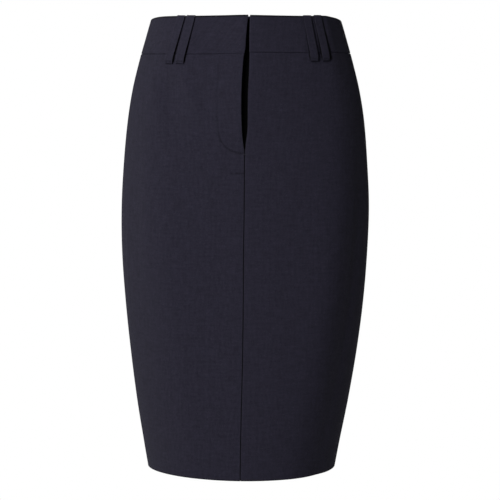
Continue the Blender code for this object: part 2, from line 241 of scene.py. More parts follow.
def from_over_edge(angle, drop):
    """Distance from the right front's edge, towards the wearer's right."""
    return half_width(drop) * (over_edge(drop) - angle)


def rim(angle):
    """Drop of the band's top edge: almost level, with a rounded corner at each side."""
    dip = np.where(angle > 0, RIM_DIP_LEFT, RIM_DIP_RIGHT) * np.sin(angle) ** 6
    corner = np.where(angle > 0, RIM_CORNER_LEFT, RIM_CORNER_RIGHT)
    return dip + corner * np.sin(angle) ** RIM_SQUARENESS


def band_foot(angle):
    front = np.where(angle > 0, BAND_LEFT, BAND_RIGHT)
    return front + (BAND_BACK - front) * np.abs(angle) / math.pi


print("fly gap at its widest:", round(1000 * max(r.under_edge - r.over_edge for r in FLY), 1), "mm")

# %% [markdown]
# ## Soft folds
#
# Good suiting hangs smoothly, yet it is never as even as a computed surface: it drags a little
# from the fly, catches the light along the flanks and flutes gently below the hips. These could
# be sculpted or simulated. A short table of ridges and troughs, each with its own place, length,
# width, height and lean, is easier to judge and to change one by one.

# %% The table of soft folds
SoftFold = namedtuple("SoftFold", "degrees drop half_length half_width height lean")
SOFT_FOLDS = (
    SoftFold(-27, 0.113, 0.046, 0.0080, 0.00200, 23),     # drag from the foot of the fly to the hip
    SoftFold(-40, 0.120, 0.056, 0.0160, -0.00280, 14),
    SoftFold(-39, 0.335, 0.165, 0.0335, 0.00465, 2.7),    # where the front turns to the sides
    SoftFold(43.2, 0.357, 0.210, 0.0325, 0.00640, -3.1),
    SoftFold(-52, 0.242, 0.200, 0.0140, 0.00090, 1),
    SoftFold(51, 0.404, 0.150, 0.0120, -0.00070, -3),
    SoftFold(-26, 0.083, 0.090, 0.0300, -0.00170, -2),    # hollows beside the fly
    SoftFold(38, 0.111, 0.100, 0.0440, -0.00160, -3),
    SoftFold(-38, 0.192, 0.150, 0.0160, -0.00060, 1),
    SoftFold(-71, 0.340, 0.130, 0.0036, 0.00060, -4.5),   # right flank
    SoftFold(60, 0.420, 0.230, 0.0160, -0.00250, -3.6),   # left flank
    SoftFold(58, 0.330, 0.120, 0.0040, 0.00030, -1),
    SoftFold(-44, 0.520, 0.100, 0.0200, 0.00045, 1),      # flutes towards the hem
    SoftFold(-22, 0.560, 0.090, 0.0170, -0.00035, 0),
    SoftFold(17, 0.540, 0.110, 0.0190, 0.00035, -1),
    SoftFold(41, 0.570, 0.080, 0.0180, -0.00040, 0),
    SoftFold(30, 0.190, 0.060, 0.0240, 0.00035, -14),     # ease over the left of the belly
    SoftFold(-50, 0.230, 0.080, 0.0220, 0.00030, 8),
    SoftFold(104, 0.380, 0.140, 0.0100, 0.00060, 2),      # behind the side seams
    SoftFold(-107, 0.350, 0.120, 0.0120, 0.00070, -3),
    SoftFold(127, 0.330, 0.090, 0.0200, -0.00080, 6),     # below the seat
    SoftFold(-131, 0.345, 0.100, 0.0210, -0.00080, -5),
    SoftFold(150, 0.400, 0.080, 0.0150, 0.00070, 16),     # drags towards the top of the vent
    SoftFold(-154, 0.420, 0.070, 0.0140, 0.00070, -19),
    SoftFold(166, 0.350, 0.050, 0.0110, -0.00050, 24),
    SoftFold(-141, 0.540, 0.090, 0.0220, 0.00060, 2),
    SoftFold(139, 0.550, 0.080, 0.0190, 0.00060, -3),
    SoftFold(118, 0.560, 0.090, 0.0200, -0.00050, 0),
    SoftFold(-119, 0.570, 0.080, 0.0180, -0.00045, 1),
)
LEAN_OVER = 0.1                   # a fold's lean is in degrees over this drop
MEAN_RADIUS = 0.140               # turns angles into distances round the body
FOLDS_BEGIN = 0.066               # the band and its seam hold the cloth flat above this drop
FOLDS_FULL = 0.096


def wrapped(angle):
    """The same direction as an angle between minus and plus half a turn."""
    return (angle + math.pi) % (2 * math.pi) - math.pi


def fold_height(fold, angle, drop):
    centre = np.radians(fold.degrees + fold.lean * (drop - fold.drop) / LEAN_OVER)
    across = wrapped(angle - centre) * MEAN_RADIUS / fold.half_width
    along = (drop - fold.drop) / fold.half_length
    return fold.height * bell(across) * bell(along)


def soft_folds(angle, drop):
    """Height of all soft folds together."""
    total = sum(fold_height(fold, angle, drop) for fold in SOFT_FOLDS)
    return total * smooth_step((drop - FOLDS_BEGIN) / (FOLDS_FULL - FOLDS_BEGIN))


print(len(SOFT_FOLDS), "soft folds, none over", max(abs(f.height) for f in SOFT_FOLDS) * 1000, "mm")

# %% [markdown]
# The fly and the ends of the band are several layers thick. They hold the middle of the front
# forward in a blunt ridge, and from there both sides slope back a little. The band also turns to
# the wearer's left side at a rounded corner. These broad forms decide how the light falls on the
# front, and the band, the panels and the loops all follow them, so they get a function of their own.

# %% The broad forms of the front
RIDGE_HEIGHT = 0.0062
RIDGE_HALF = 0.066                # width to each side over which it fades away
RIDGE_FADE_FROM = 0.120           # drop where the ridge begins to sink
RIDGE_FADE_TO = 0.200
RIDGE_BLUNT = 0.02                # rounds its top, 0 would be a sharp crest
BAND_CORNER = SoftFold(53, 0.015, 0.070, 0.0185, 0.0040, 0)


def front_form(angle, drop):
    """How far the ridge at the centre front and the band's corner stand off the form."""
    away = np.abs(angle) * half_width(drop) / RIDGE_HALF
    rounded = np.sqrt(away ** 2 + RIDGE_BLUNT) - math.sqrt(RIDGE_BLUNT)
    held = 1 - smooth_step((drop - RIDGE_FADE_FROM) / (RIDGE_FADE_TO - RIDGE_FADE_FROM))
    ridge = RIDGE_HEIGHT * held * np.clip(1 - rounded, 0, 1) ** 2
    return ridge + fold_height(BAND_CORNER, angle, drop)


print("the ridge stands", 1000 * RIDGE_HEIGHT, "mm forward")

# %% [markdown]
# ## The fly's row of stitching
#
# A fly is sewn down by a row that runs beside its edge and curves into the centre front seam,
# like a J. The thread pulls the cloth in by a fraction of a millimetre, and the facing behind it
# lifts the cloth between the row and the edge. The row's line is worked out once and used three
# times: for the groove in the cloth, for painted shade along it, and for the stitches that lie in it.

# %% Sizes of the J row and the facing
J_INSET = 0.0335                  # from the fly's edge to the straight part of the row
J_BEND = 0.150                    # drop where the row begins to curve
J_REACH = 0.037                   # drop from there to its foot
J_SQUARENESS = 2.5                # 2 is an ellipse, more is squarer
J_SOFT, J_FOOT_SOFT = 0.0016, 0.004    # the facing's relief ends this softly at the row
GROOVE_DEPTH = 0.00050
GROOVE_HALF = 0.0015
FACING_LIFT = 0.00030
FACING_END = 0.2145               # drop where the facing ends, which shows as a faint line
FACING_END_FROM, FACING_END_TO = -0.027, 0.001   # and the stretch where it shows
FACING_END_FADES = 0.016, 0.002   # it fades out over these lengths at its two ends
FACING_END_DEPTH = 0.00040
FACING_END_HALF = 0.0010
J_SHADE = 0.40                    # how much painted shade the row and the facing's end have, as a share of the seams' full shade
J_SHADE_HALF = 0.0014
J_SHADE_STRAIGHT = 0.25           # and the share of it that the row's straight part has
J_SHADE_EASE = 0.020
FACING_END_SHADE = 0.50
NEAR_INSET, NEAR_DROP = 0.05, 0.20     # beyond these a place is nowhere near the row
print("the J ends", round(1000 * (J_BEND + J_REACH)), "mm below the waist")


# %% The J line and the relief of the right front
def j_line():
    """The row as inset from the fly's edge and drop, top to foot."""
    straight = np.linspace(BAND_RIGHT + 0.002, J_BEND, 60)
    turn = np.linspace(0, math.pi / 2, 50)[1:]
    insets = J_INSET * np.cos(turn) ** (2 / J_SQUARENESS)
    drops = J_BEND + J_REACH * np.sin(turn) ** (2 / J_SQUARENESS)
    return (
        np.concatenate([np.full(60, J_INSET), insets]),
        np.concatenate([straight, drops]),
    )


def inside_j(inset, drop):
    """1 between the row of stitching and the fly's edge, 0 outside it, soft at the row."""
    curve = np.clip((drop - J_BEND) / J_REACH, 0, 1)
    reach = J_INSET * (1 - curve ** J_SQUARENESS) ** (1 / J_SQUARENESS)
    above_foot = smooth_step((J_BEND + J_REACH - drop) / J_FOOT_SOFT)
    return smooth_step((reach - inset) / J_SOFT + 0.5) * above_foot


def from_row(inset, drop):
    """Distance from the row of stitching, 1 metre where it is far away."""
    near = (inset < NEAR_INSET) & (drop < NEAR_DROP)
    line_inset, line_drop = j_line()
    distance = np.full(inset.shape, 1.0)
    apart = np.hypot(inset[near][:, None] - line_inset, drop[near][:, None] - line_drop)
    distance[near] = apart.min(axis=1)
    return distance


def facing_end(angle, drop):
    """1 along the line where the facing ends, 0 elsewhere."""
    x = half_width(drop) * np.sin(angle)
    outer, inner = FACING_END_FADES
    shown = smooth_step((x - FACING_END_FROM) / outer) * smooth_step((FACING_END_TO - x) / inner + 1)
    return shown * bell((drop - FACING_END) / FACING_END_HALF)


def fly_relief(angle, drop):
    """The lift of the right front along the fly, its facing and the groove of its stitching."""
    inset = from_over_edge(angle, drop)
    lift = FLY_LIFT * smooth_step(1 - inset / FLY_WIDTH) * smooth_step((FLY_END - drop) / FLY_EASE)
    groove = GROOVE_DEPTH * bell(from_row(inset, drop) / GROOVE_HALF)
    groove = groove + FACING_END_DEPTH * facing_end(angle, drop)
    return lift + FACING_LIFT * inside_j(inset, drop) - groove


def fly_shade(angle, drop):
    """Painted shade along the row, strongest where the row turns, and along the facing's end."""
    row = bell(from_row(from_over_edge(angle, drop), drop) / J_SHADE_HALF)
    turning = J_SHADE_STRAIGHT + (1 - J_SHADE_STRAIGHT) * smooth_step((drop - J_BEND) / J_SHADE_EASE)
    return J_SHADE * turning * row + FACING_END_SHADE * facing_end(angle, drop)


print("the J's line has", len(j_line()[0]), "points")

# %% [markdown]
# ## Cloth with turned edges
#
# The edge of a cut panel is never seen on a finished skirt. At a seam both panels turn inward
# and their allowances are pressed open, each back over its own panel, and at the hem the cloth
# turns up. Two flat sheets that stop at the seam would look like card. So every panel is one grid
# of points that runs over its face, round a small fold and back along the inside. The fold is a
# half circle, and Solidify then gives the whole sheet its thickness.

# %% Sizes of the cloth
THICKNESS = 0.00042
FOLD_RADIUS = 0.00048
FOLD_STEPS = 6                    # a folded edge is a half circle in this many steps
SEAM_ALLOWANCE = 0.012
HEM_TURN = 0.036
SEAM_DIP = 0.00022                # how far the face sinks towards a seam, outside the fold
SEAM_DIP_HALF = 0.0016
SEWN_CLOSE = 0.00003              # sewn edges press against each other by this much
EDGE_HALF = 0.0012                # a painted highlight along a pressed edge reaches about this far
HEM_SHARES = np.array([0.15, 0.4, 0.7, 1.0])    # where the turned-up hem has its rows

fold_turn = np.linspace(0, math.pi, FOLD_STEPS + 1)
fold_inset = FOLD_RADIUS * (1 - np.sin(fold_turn))
fold_depth = FOLD_RADIUS * (1 - np.cos(fold_turn))

FoldPoint = namedtuple("FoldPoint", "inset depth shade")
SEAM_FOLD = (                     # a pressed seam's edge: it rolls in and closes below the face; its shade column is painted shade on the seam's walls
    FoldPoint(0.00110, 0.00000, 0.0),
    FoldPoint(0.00075, 0.00004, 0.2),
    FoldPoint(0.00046, 0.00016, 0.9),
    FoldPoint(0.00028, 0.00036, 1.0),
    FoldPoint(0.00019, 0.00060, 1.0),
    FoldPoint(0.00011, 0.00082, 1.0),
    FoldPoint(-SEWN_CLOSE, 0.00100, 1.0),
    FoldPoint(-SEWN_CLOSE, 0.00112, 1.0),
    FoldPoint(0.00012, 0.00126, 0.5),
    FoldPoint(0.00045, 0.00130, 0.0),
)
seam_inset = np.array([point.inset for point in SEAM_FOLD])
seam_depth = np.array([point.depth for point in SEAM_FOLD])
seam_shade = np.array([point.shade for point in SEAM_FOLD])
HEM_SHADE_HALF = 0.0011           # painted shade on the cloth turned over at the hem reaches about this far
# painted shade along the band's top edge is full down to the first drop below the rim and gone by the
# second
RIM_SHADE_FROM, RIM_SHADE_TO = 0.0014, 0.0022

TopRow = namedtuple("TopRow", "below depth")
TOP_ROWS = (                      # the top allowance comes down out of the band and to the face
    TopRow(-0.0040, 0.00120),
    TopRow(-0.0020, 0.00120),
    TopRow(-0.0004, 0.00116),
    TopRow(0.0000, 0.00098),
    TopRow(0.0002, 0.00074),
    TopRow(0.0004, 0.00048),
    TopRow(0.0006, 0.00027),
    TopRow(0.0009, 0.00010),
)
NEAR_EDGE = np.array([0.0015, 0.0020, 0.0026, 0.0035, 0.0050, 0.0070])
ALLOWANCE_SHARES = np.array([0.25, 0.5, 0.75, 1.0])
SEAM_CORNER = 0.00061             # down to this depth a seam's fold carries on round the hem
print("a seam groove is", round(2000 * seam_inset[0], 2), "mm wide at its brim")

# %% [markdown]
# Cloth doesn't stretch when it is laid on the form, so a column of a panel's grid has to stand at a
# distance, not at an angle. The next helpers measure along the form, level by level, turn
# distances back into angles and place the columns and rows of a grid.

# %% Distances round the form
SEARCH_BEYOND = 0.4               # radians past each edge in which the turned cloth is looked for
SEARCH_STEPS = 360


def measure_rows(start, end, drops):
    """Widths of rows between two edges, and a function that gives the angles for distances."""
    share = np.linspace(0, 1, SEARCH_STEPS + 1)
    low, high = start - SEARCH_BEYOND, end + SEARCH_BEYOND
    angles = low[:, None] + (high - low)[:, None] * share
    points = form_point(angles, np.repeat(drops[:, None], share.size, axis=1))
    lengths = np.linalg.norm(np.diff(points, axis=1), axis=2).cumsum(axis=1)
    lengths = np.concatenate([np.zeros((len(drops), 1)), lengths], axis=1)
    begin = np.array([np.interp(*row) for row in zip(start, angles, lengths)])
    widths = np.array([np.interp(*row) for row in zip(end, angles, lengths)]) - begin

    def angles_of(distances):
        places = distances + begin[:, None]
        return np.array([np.interp(*row) for row in zip(places, lengths, angles)])

    return widths, angles_of


def spread_columns(widths, from_start, from_end, spacing):
    """Distances of a panel's face columns from its start edge, row by row."""
    gap = widths.max() - from_start[-1] - from_end[-1]
    shares = np.linspace(0, 1, int(math.ceil(gap / spacing)) + 1)[1:-1]
    middle = from_start[-1] + (widths[:, None] - from_end[-1] - from_start[-1]) * shares
    return np.concatenate([
        np.repeat(from_start[None, :], len(widths), axis=0),
        middle,
        widths[:, None] - from_end[::-1][None, :],
    ], axis=1)


def face_rows(breaks, spacings):
    """Drops between the given breaks, each stretch with its own spacing."""
    drops = [np.array([breaks[0]])]
    for top, foot, spacing in zip(breaks, breaks[1:], spacings):
        drops.append(np.linspace(top, foot, int(math.ceil((foot - top) / spacing)) + 1)[1:])
    return np.concatenate(drops)


print("10 mm in rows at most 4 mm apart:", face_rows((0.0, 0.010), (0.004,)).round(4))

# %% [markdown]
# Every piece of cloth reaches Blender in the same way, as points and four-sided faces, and carries
# its own measure of the grain as a UV map, in metres. Moving each piece's grain to another place on
# the roll keeps the yarns from matching across a seam, as they would in a mirror.

# %% From a grid of points to a mesh
def grid_faces(exists, first=0):
    """Faces of a grid, only where all four corners hold cloth. Rows run down, columns to the left."""
    rows, columns = exists.shape
    index = first + np.arange(rows * columns).reshape(rows, columns)
    whole = exists[:-1, :-1] & exists[1:, :-1] & exists[1:, 1:] & exists[:-1, 1:]
    corners = np.stack([index[:-1, :-1], index[1:, :-1], index[1:, 1:], index[:-1, 1:]], axis=-1)
    return corners[whole]


PIECE_STEP = 0.43                 # each piece is cut from another place along the roll of cloth
PIECE_PLACES = 5


def new_piece(name, points, faces, grain, material, node=None, edge=None, shade=None,
              merge=0.0):
    """An object from points, faces and, for each point, its place on the grain, its nearness to an
    edge, which paints a highlight, and its painted shade. node is the solid that it replaces."""
    used, faces = np.unique(faces, return_inverse=True)
    faces = faces.reshape(-1, 4)
    points, grain = points.reshape(-1, 3)[used], grain.reshape(-1, 2)[used]
    grain = grain + np.array([PIECE_STEP, 0.0]) * (len(bpy.data.meshes) % PIECE_PLACES)
    mesh = bpy.data.meshes.new(name)
    mesh.from_pydata(points.tolist(), [], faces.tolist())
    layer = mesh.uv_layers.new(name="Grain")
    layer.data.foreach_set("uv", grain[faces.ravel()].astype(np.float32).ravel())
    for label, values in (("edge", edge), ("shade", shade)):
        attribute = mesh.attributes.new(label, "FLOAT", "POINT")
        if values is not None:
            attribute.data.foreach_set("value", values.ravel()[used].astype(np.float32))
    if merge:
        bm = bmesh.new()
        bm.from_mesh(mesh)
        bmesh.ops.remove_doubles(bm, verts=bm.verts, dist=merge)
        bm.to_mesh(mesh)
        bm.free()
    mesh.shade_smooth()
    mesh.materials.append(material)
    piece = bpy.data.objects.new(name, mesh)
    bpy.context.scene.collection.objects.link(piece)
    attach(piece, "root")
    if node:
        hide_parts(node)
    return piece


def mesh_area(piece):
    return sum(polygon.area for polygon in piece.data.polygons)


print("a grid of 3 by 4 points has", len(grid_faces(np.ones((3, 4), bool))), "faces")

# %% [markdown]
# ## Materials: what navy suiting is made of
#
# Suiting is a plain weave of fine yarns. From a step away it reads as one dark navy, but the
# fibres were dyed before spinning, so some are paler and bluer than others: that is the heather.
# A single colour would look like plastic, and a picture of cloth would repeat. Instead three
# small node groups, each built once, give the weave, the heather and the unevenness of the
# handle, and each material places them with its own values.

# %% Helpers for node groups
def new_group(name, inputs, outputs):
    """A shader node group with named sockets. inputs maps a name to a default value."""
    group = bpy.data.node_groups.new(name, "ShaderNodeTree")
    for socket, value in inputs.items():
        kind = "NodeSocketVector" if isinstance(value, tuple) else "NodeSocketFloat"
        made = group.interface.new_socket(socket, in_out="INPUT", socket_type=kind)
        made.default_value = value
    for socket in outputs:
        group.interface.new_socket(socket, in_out="OUTPUT", socket_type="NodeSocketFloat")
    return group, group.nodes.new("NodeGroupInput"), group.nodes.new("NodeGroupOutput")


def feed(tree, node, inputs):
    """Fills sockets of a node, by name or number, with values or links from other sockets."""
    for socket, value in inputs.items():
        if isinstance(value, bpy.types.NodeSocket):
            tree.links.new(value, node.inputs[socket])
        else:
            node.inputs[socket].default_value = value


def add_node(tree, kind, inputs, **settings):
    node = tree.nodes.new("ShaderNode" + kind)
    for setting, value in settings.items():
        setattr(node, setting, value)
    feed(tree, node, inputs)
    return node


def calculate(tree, operation, *values):
    """A Math node fed by numbers or by other nodes' sockets. Returns its result."""
    return add_node(tree, "Math", dict(enumerate(values)), operation=operation).outputs[0]


def stretch(tree, vector, scale):
    """A vector multiplied by three factors."""
    return add_node(tree, "VectorMath", {0: vector, 1: scale}, operation="MULTIPLY").outputs[0]


def noise(tree, vector, detail=2.0, roughness=0.6, scale=1.0):
    inputs = {"Vector": vector, "Scale": scale, "Detail": detail, "Roughness": roughness}
    return add_node(tree, "TexNoise", inputs).outputs["Fac"]


def blend_colours(tree, amount, first, second):
    """Mixes two colours."""
    inputs = {"Factor": amount, 6: first, 7: second}
    return add_node(tree, "Mix", inputs, data_type="RGBA").outputs[2]


def socket_names(group):
    return [item.name for item in group.interface.items_tree]


print("helpers for nodes: new_group, feed, add_node, calculate, stretch, noise and blend_colours")

# %% [markdown]
# The weave group makes the rise and fall of the yarns. Warp and weft cross at every whole
# number of threads, and where one is up the other is down, so the product of two cosines gives
# the crossing points and a third wave rounds each yarn.

# %% The weave group
SLUB_GRAIN = (900.0, 160.0, 0.0)  # thick places in the yarns, in changes to a metre


def make_weave_group():
    group, given, result = new_group(
        "Plain weave", {"Grain": (0.0, 0.0, 0.0), "Threads per metre": 2400.0, "Slub": 0.3}, ["Height"]
    )
    grain = given.outputs["Grain"]
    axes = add_node(group, "SeparateXYZ", {0: grain})
    wander = noise(group, stretch(group, grain, SLUB_GRAIN), roughness=0.5)
    wander = calculate(group, "MULTIPLY", wander, given.outputs["Slub"])
    waves = []
    for axis in (0, 1):
        count = calculate(group, "MULTIPLY", axes.outputs[axis], given.outputs["Threads per metre"])
        count = calculate(group, "ADD", count, wander)
        waves.append(calculate(group, "COSINE", calculate(group, "MULTIPLY", count, math.pi)))
    crossing = calculate(group, "MULTIPLY", waves[0], waves[1])
    rounding = calculate(group, "MULTIPLY", waves[0], waves[0])
    height = calculate(group, "ADD", calculate(group, "MULTIPLY", crossing, 0.35), 0.4)
    height = calculate(group, "ADD", height, calculate(group, "MULTIPLY", rounding, 0.25))
    group.links.new(height, result.inputs["Height"])
    return group


weave_group = make_weave_group()
print("weave group:", socket_names(weave_group))

# %% [markdown]
# The heather group finds pale and dark fibres. Fibres are long and thin and lie along the yarns,
# so it stretches one noise along the warp and another along the weft and keeps their peaks.

# %% The heather group
WARP_FIBRES, WEFT_FIBRES = (2100.0, 260.0, 0.0), (240.0, 1900.0, 0.0)    # in changes to a metre
PALE_FROM, PALE_FULL = 0.52, 0.68    # values of the noise between which a fibre turns pale
DARK_FROM, DARK_FULL = 0.48, 0.34


def make_heather_group():
    group, given, result = new_group(
        "Heathered fibres", {"Grain": (0.0, 0.0, 0.0), "Amount": 1.0}, ["Pale", "Dark"]
    )
    warp = noise(group, stretch(group, given.outputs["Grain"], WARP_FIBRES))
    weft = noise(group, stretch(group, given.outputs["Grain"], WEFT_FIBRES))
    both = calculate(group, "MULTIPLY", calculate(group, "ADD", warp, weft), 0.5)
    for socket, low, high in (("Pale", PALE_FROM, PALE_FULL), ("Dark", DARK_FROM, DARK_FULL)):
        inputs = {"Value": both, "From Min": low, "From Max": high}
        mask = add_node(group, "MapRange", inputs, interpolation_type="SMOOTHSTEP")
        scaled = calculate(group, "MULTIPLY", mask.outputs["Result"], given.outputs["Amount"])
        group.links.new(scaled, result.inputs[socket])
    return group


heather_group = make_heather_group()
print("heather group:", socket_names(heather_group))

# %% [markdown]
# The handle group is what a tailor feels: the unevenness of the yarns, and of pressing and
# hanging. Warp and weft yarns vary in tone along their length, so the group adds two noises, each
# drawn out along its own yarns, and then fainter, longer streaks that follow the warp.

# %% The handle group
ALONG_YARN, ACROSS_YARNS = 60.0, 285.0      # changes of tone in a metre, along and across
STREAK_GRAIN = (170.0, 5.0, 0.0)


def make_handle_group():
    group, given, result = new_group(
        "Handle of the cloth", {"Grain": (0.0, 0.0, 0.0), "Mottle": 1.0, "Streaks": 1.0}, ["Tone"]
    )
    grain = given.outputs["Grain"]
    weft = noise(group, stretch(group, grain, (ALONG_YARN, ACROSS_YARNS, 0.0)))
    warp = noise(group, stretch(group, grain, (ACROSS_YARNS, ALONG_YARN, 0.0)))
    mottle = calculate(group, "SUBTRACT", calculate(group, "ADD", weft, warp), 1.0)
    mottle = calculate(group, "MULTIPLY", mottle, given.outputs["Mottle"])
    streaks = noise(group, stretch(group, grain, STREAK_GRAIN), detail=3.0)
    streaks = calculate(group, "SUBTRACT", streaks, 0.5)
    streaks = calculate(group, "MULTIPLY", streaks, given.outputs["Streaks"])
    tone = calculate(group, "ADD", calculate(group, "ADD", mottle, streaks), 1.0)
    group.links.new(tone, result.inputs["Tone"])
    return group


handle_group = make_handle_group()
print("handle group:", socket_names(handle_group))

# %% [markdown]
# Two attributes on each mesh tell the material where it is. "edge" is high along pressed edges,
# where it paints a highlight into the colour and makes the cloth a little smoother. "shade" is
# painted shade: it is high deep in a seam, beneath the loops and beside them, in the fly's row of
# stitching, and where the cloth turns over at the rim and the hem, and there it darkens the colour.

# %% Building a cloth material
EDGE_HIGHLIGHT = 0.10               # painted highlight: how much lighter a pressed edge is
SHADE_DARKER = 0.90               # and how much darker the painted shade makes the cloth where "shade" is full
ROUGHNESS = 0.92
YARN_SMOOTHER = 0.10              # the tops of the yarns are smoother than the gaps
EDGE_SMOOTHER = 0.08              # and so is a pressed edge
FIBRE_HEIGHT = 0.35               # pale fibres stand this far above the weave, in its heights
SHEEN_ROUGHNESS = 0.45
SHEEN_TINT = (0.80, 0.84, 1.0, 1.0)


def cloth_material(name, base, pale, dark, threads, bump, sheen, mottle, streaks,
                   heather=1.0, shine=0.15):
    """A woven material from its three colours, its threads in a metre and its relief in metres."""
    material = bpy.data.materials.new(name)
    material.use_nodes = True
    material.diffuse_color = (*base, 1.0)
    tree = material.node_tree
    grain = add_node(tree, "UVMap", {}, uv_map="Grain").outputs["UV"]
    edge, shade = (
        add_node(tree, "Attribute", {}, attribute_name=name).outputs["Fac"] for name in ("edge", "shade")
    )
    fibres = add_node(tree, "Group", {"Grain": grain, "Amount": heather}, node_tree=heather_group)
    handle = add_node(
        tree, "Group", {"Grain": grain, "Mottle": mottle, "Streaks": streaks}, node_tree=handle_group
    )
    weave = add_node(
        tree, "Group", {"Grain": grain, "Threads per metre": threads}, node_tree=weave_group
    )

    colour = blend_colours(tree, fibres.outputs["Pale"], (*base, 1.0), (*pale, 1.0))
    colour = blend_colours(tree, fibres.outputs["Dark"], colour, (*dark, 1.0))
    # painted highlight along pressed edges, on top of the cloth's own random tone
    pressed = calculate(tree, "MULTIPLY_ADD", edge, EDGE_HIGHLIGHT, handle.outputs["Tone"])
    # painted shade: the colour darkens where the shade attribute is high
    painted_shade = calculate(tree, "MULTIPLY_ADD", shade, -SHADE_DARKER, 1.0)
    tone = calculate(tree, "MULTIPLY", pressed, painted_shade)
    toned = add_node(tree, "VectorMath", {}, operation="SCALE")
    feed(tree, toned, {0: colour, "Scale": tone})
    yarn = calculate(tree, "MULTIPLY_ADD", weave.outputs["Height"], -YARN_SMOOTHER, ROUGHNESS)
    height = calculate(
        tree, "MULTIPLY_ADD", fibres.outputs["Pale"], FIBRE_HEIGHT, weave.outputs["Height"]
    )
    relief = add_node(tree, "Bump", {"Strength": 1.0, "Distance": bump, "Height": height})
    feed(tree, tree.nodes["Principled BSDF"], {
        "Base Color": toned.outputs[0],
        "Roughness": calculate(tree, "MULTIPLY_ADD", edge, -EDGE_SMOOTHER, yarn),
        "Normal": relief.outputs["Normal"],
        "Specular IOR Level": shine,
        "Sheen Weight": sheen,
        "Sheen Roughness": SHEEN_ROUGHNESS,
        "Sheen Tint": SHEEN_TINT,
    })
    return material


# how strong the painted shade and the painted edge highlight are
print("a painted_shade_spot is", SHADE_DARKER, "darker than the open cloth, a pressed edge", EDGE_HIGHLIGHT, "lighter")

# %% [markdown]
# The skirt itself, its sewing thread, the paler thread of the tack at the foot of the fly, the zip
# tape and the nylon coil each have their own colours. Thread is smoother than cloth, and zip tape
# is a coarser and darker weave.

# %% The cloth and thread materials
suiting = cloth_material(
    "Navy suiting", (0.0216, 0.0198, 0.0345), (0.042, 0.041, 0.066), (0.0120, 0.0108, 0.0190),
    threads=2300.0, bump=0.00012, sheen=0.02, mottle=0.57, streaks=0.22, heather=0.6,
)
thread = cloth_material(
    "Navy thread", (0.016, 0.0155, 0.024), (0.03, 0.03, 0.045), (0.008, 0.008, 0.012),
    threads=5000.0, bump=0.00004, sheen=0.0, mottle=0.3, streaks=0.0, heather=0.5,
)
tack_thread = cloth_material(
    "Navy tacking thread", (0.034, 0.033, 0.046), (0.055, 0.055, 0.075), (0.020, 0.020, 0.028),
    threads=5000.0, bump=0.00004, sheen=0.0, mottle=0.3, streaks=0.0, heather=0.5,
)
# black zip tape made near-black, so that its colour also paints the deep shade in the fly's gap
tape = cloth_material(
    "Black zip tape", (0.0012, 0.0012, 0.0014), (0.0024, 0.0024, 0.0028), (0.0006, 0.0006, 0.0007),
    threads=1300.0, bump=0.00015, sheen=0.0, mottle=0.2, streaks=0.1, shine=0.02,
)
nylon = cloth_material(
    "Black nylon", (0.0025, 0.0025, 0.0030), (0.004, 0.004, 0.005), (0.0016, 0.0016, 0.0018),
    threads=4000.0, bump=0.00002, sheen=0.0, mottle=0.3, streaks=0.0, heather=0.3, shine=0.10,
)
print("materials:", [m.name for m in (suiting, thread, tack_thread, tape, nylon)])

# %% [markdown]
# ## Where the belt loops sit
#
# The panels and the band have to know where the loops will be, because a painted shadow darkens the
# cloth beneath a loop and in a strip beside its open edge. So the loops' table comes before them. Its
# fifth column is the width of that painted shadow strip on the side that faces the wearer's left, and
# the sixth the width of the loop's own edge on that side that is painted dark.

# %% Belt loop sizes
LOOP_TOP, LOOP_FOOT = -0.0008, 0.0655
Loop = namedtuple("Loop", "name top_x foot_x foot hollow rolled at_back")
LOOPS = (
    Loop("loop_right_outer", -0.0872, -0.1050, LOOP_FOOT, 0.0008, 0.0, False),
    Loop("loop_right_inner", -0.0737, -0.0900, LOOP_FOOT, 0.0008, 0.0, False),
    Loop("loop_left_inner", 0.0829, 0.0931, 0.0621, 0.0045, 0.0010, False),
    Loop("loop_left_outer", 0.0960, 0.1083, 0.0621, 0.0088, 0.0008, False),
    Loop("loop_back_right", -0.0095, -0.0105, LOOP_FOOT, 0.0004, 0.0, True),
    Loop("loop_back_left", 0.0095, 0.0105, LOOP_FOOT, 0.0004, 0.0, True),
)
LoopRow = namedtuple("LoopRow", "drop clear")
LOOP_PROFILE = (
    LoopRow(LOOP_TOP, 0.0004),
    LoopRow(0.0120, 0.0007),
    LoopRow(0.0300, 0.0015),
    LoopRow(0.0450, 0.0025),
    LoopRow(0.0550, 0.0029),
    LoopRow(0.0615, 0.0023),
    LoopRow(LOOP_FOOT, 0.0009),
)
LOOP_WIDTH = 0.0125
LOOP_EDGE_HALF = 0.0008           # the painted highlight along its pressed edges reaches this far
LOOP_WALL = 0.0018
STRIP = 0.0015                    # thickness of the strip
STRIP_PRESSED = 0.0009            # and where it is folded back on itself
STRIP_EASE = 0.006                # length over which it goes from one to the other
STRIP_CORNER = 0.0004             # radius of its corners
STRIP_TURN = 0.0085               # length of each end that is turned under
LOOP_TOP_LOWER = 0.0006           # the strip's soft fold settles this much
# the loops' painted shadow softens at its sides over this width
SHADOW_EASE = 0.0010
SHADOW_AT_TOP = 0.45              # share of the painted shadow strip's width at the top of a loop
SHADOW_FOOT = 0.001               # the painted shadow fades out over this length, this far above the foot
CROWN = 0.00010                   # a strip is this much fuller along its middle
print("loops:", [loop.name for loop in LOOPS])


# %% Where the loops' painted shadow falls on the skirt
def loop_x(loop, drop):
    """How far a loop's middle lies from the middle of the body."""
    return loop.top_x + (loop.foot_x - loop.top_x) * (drop - LOOP_TOP) / (loop.foot - LOOP_TOP)


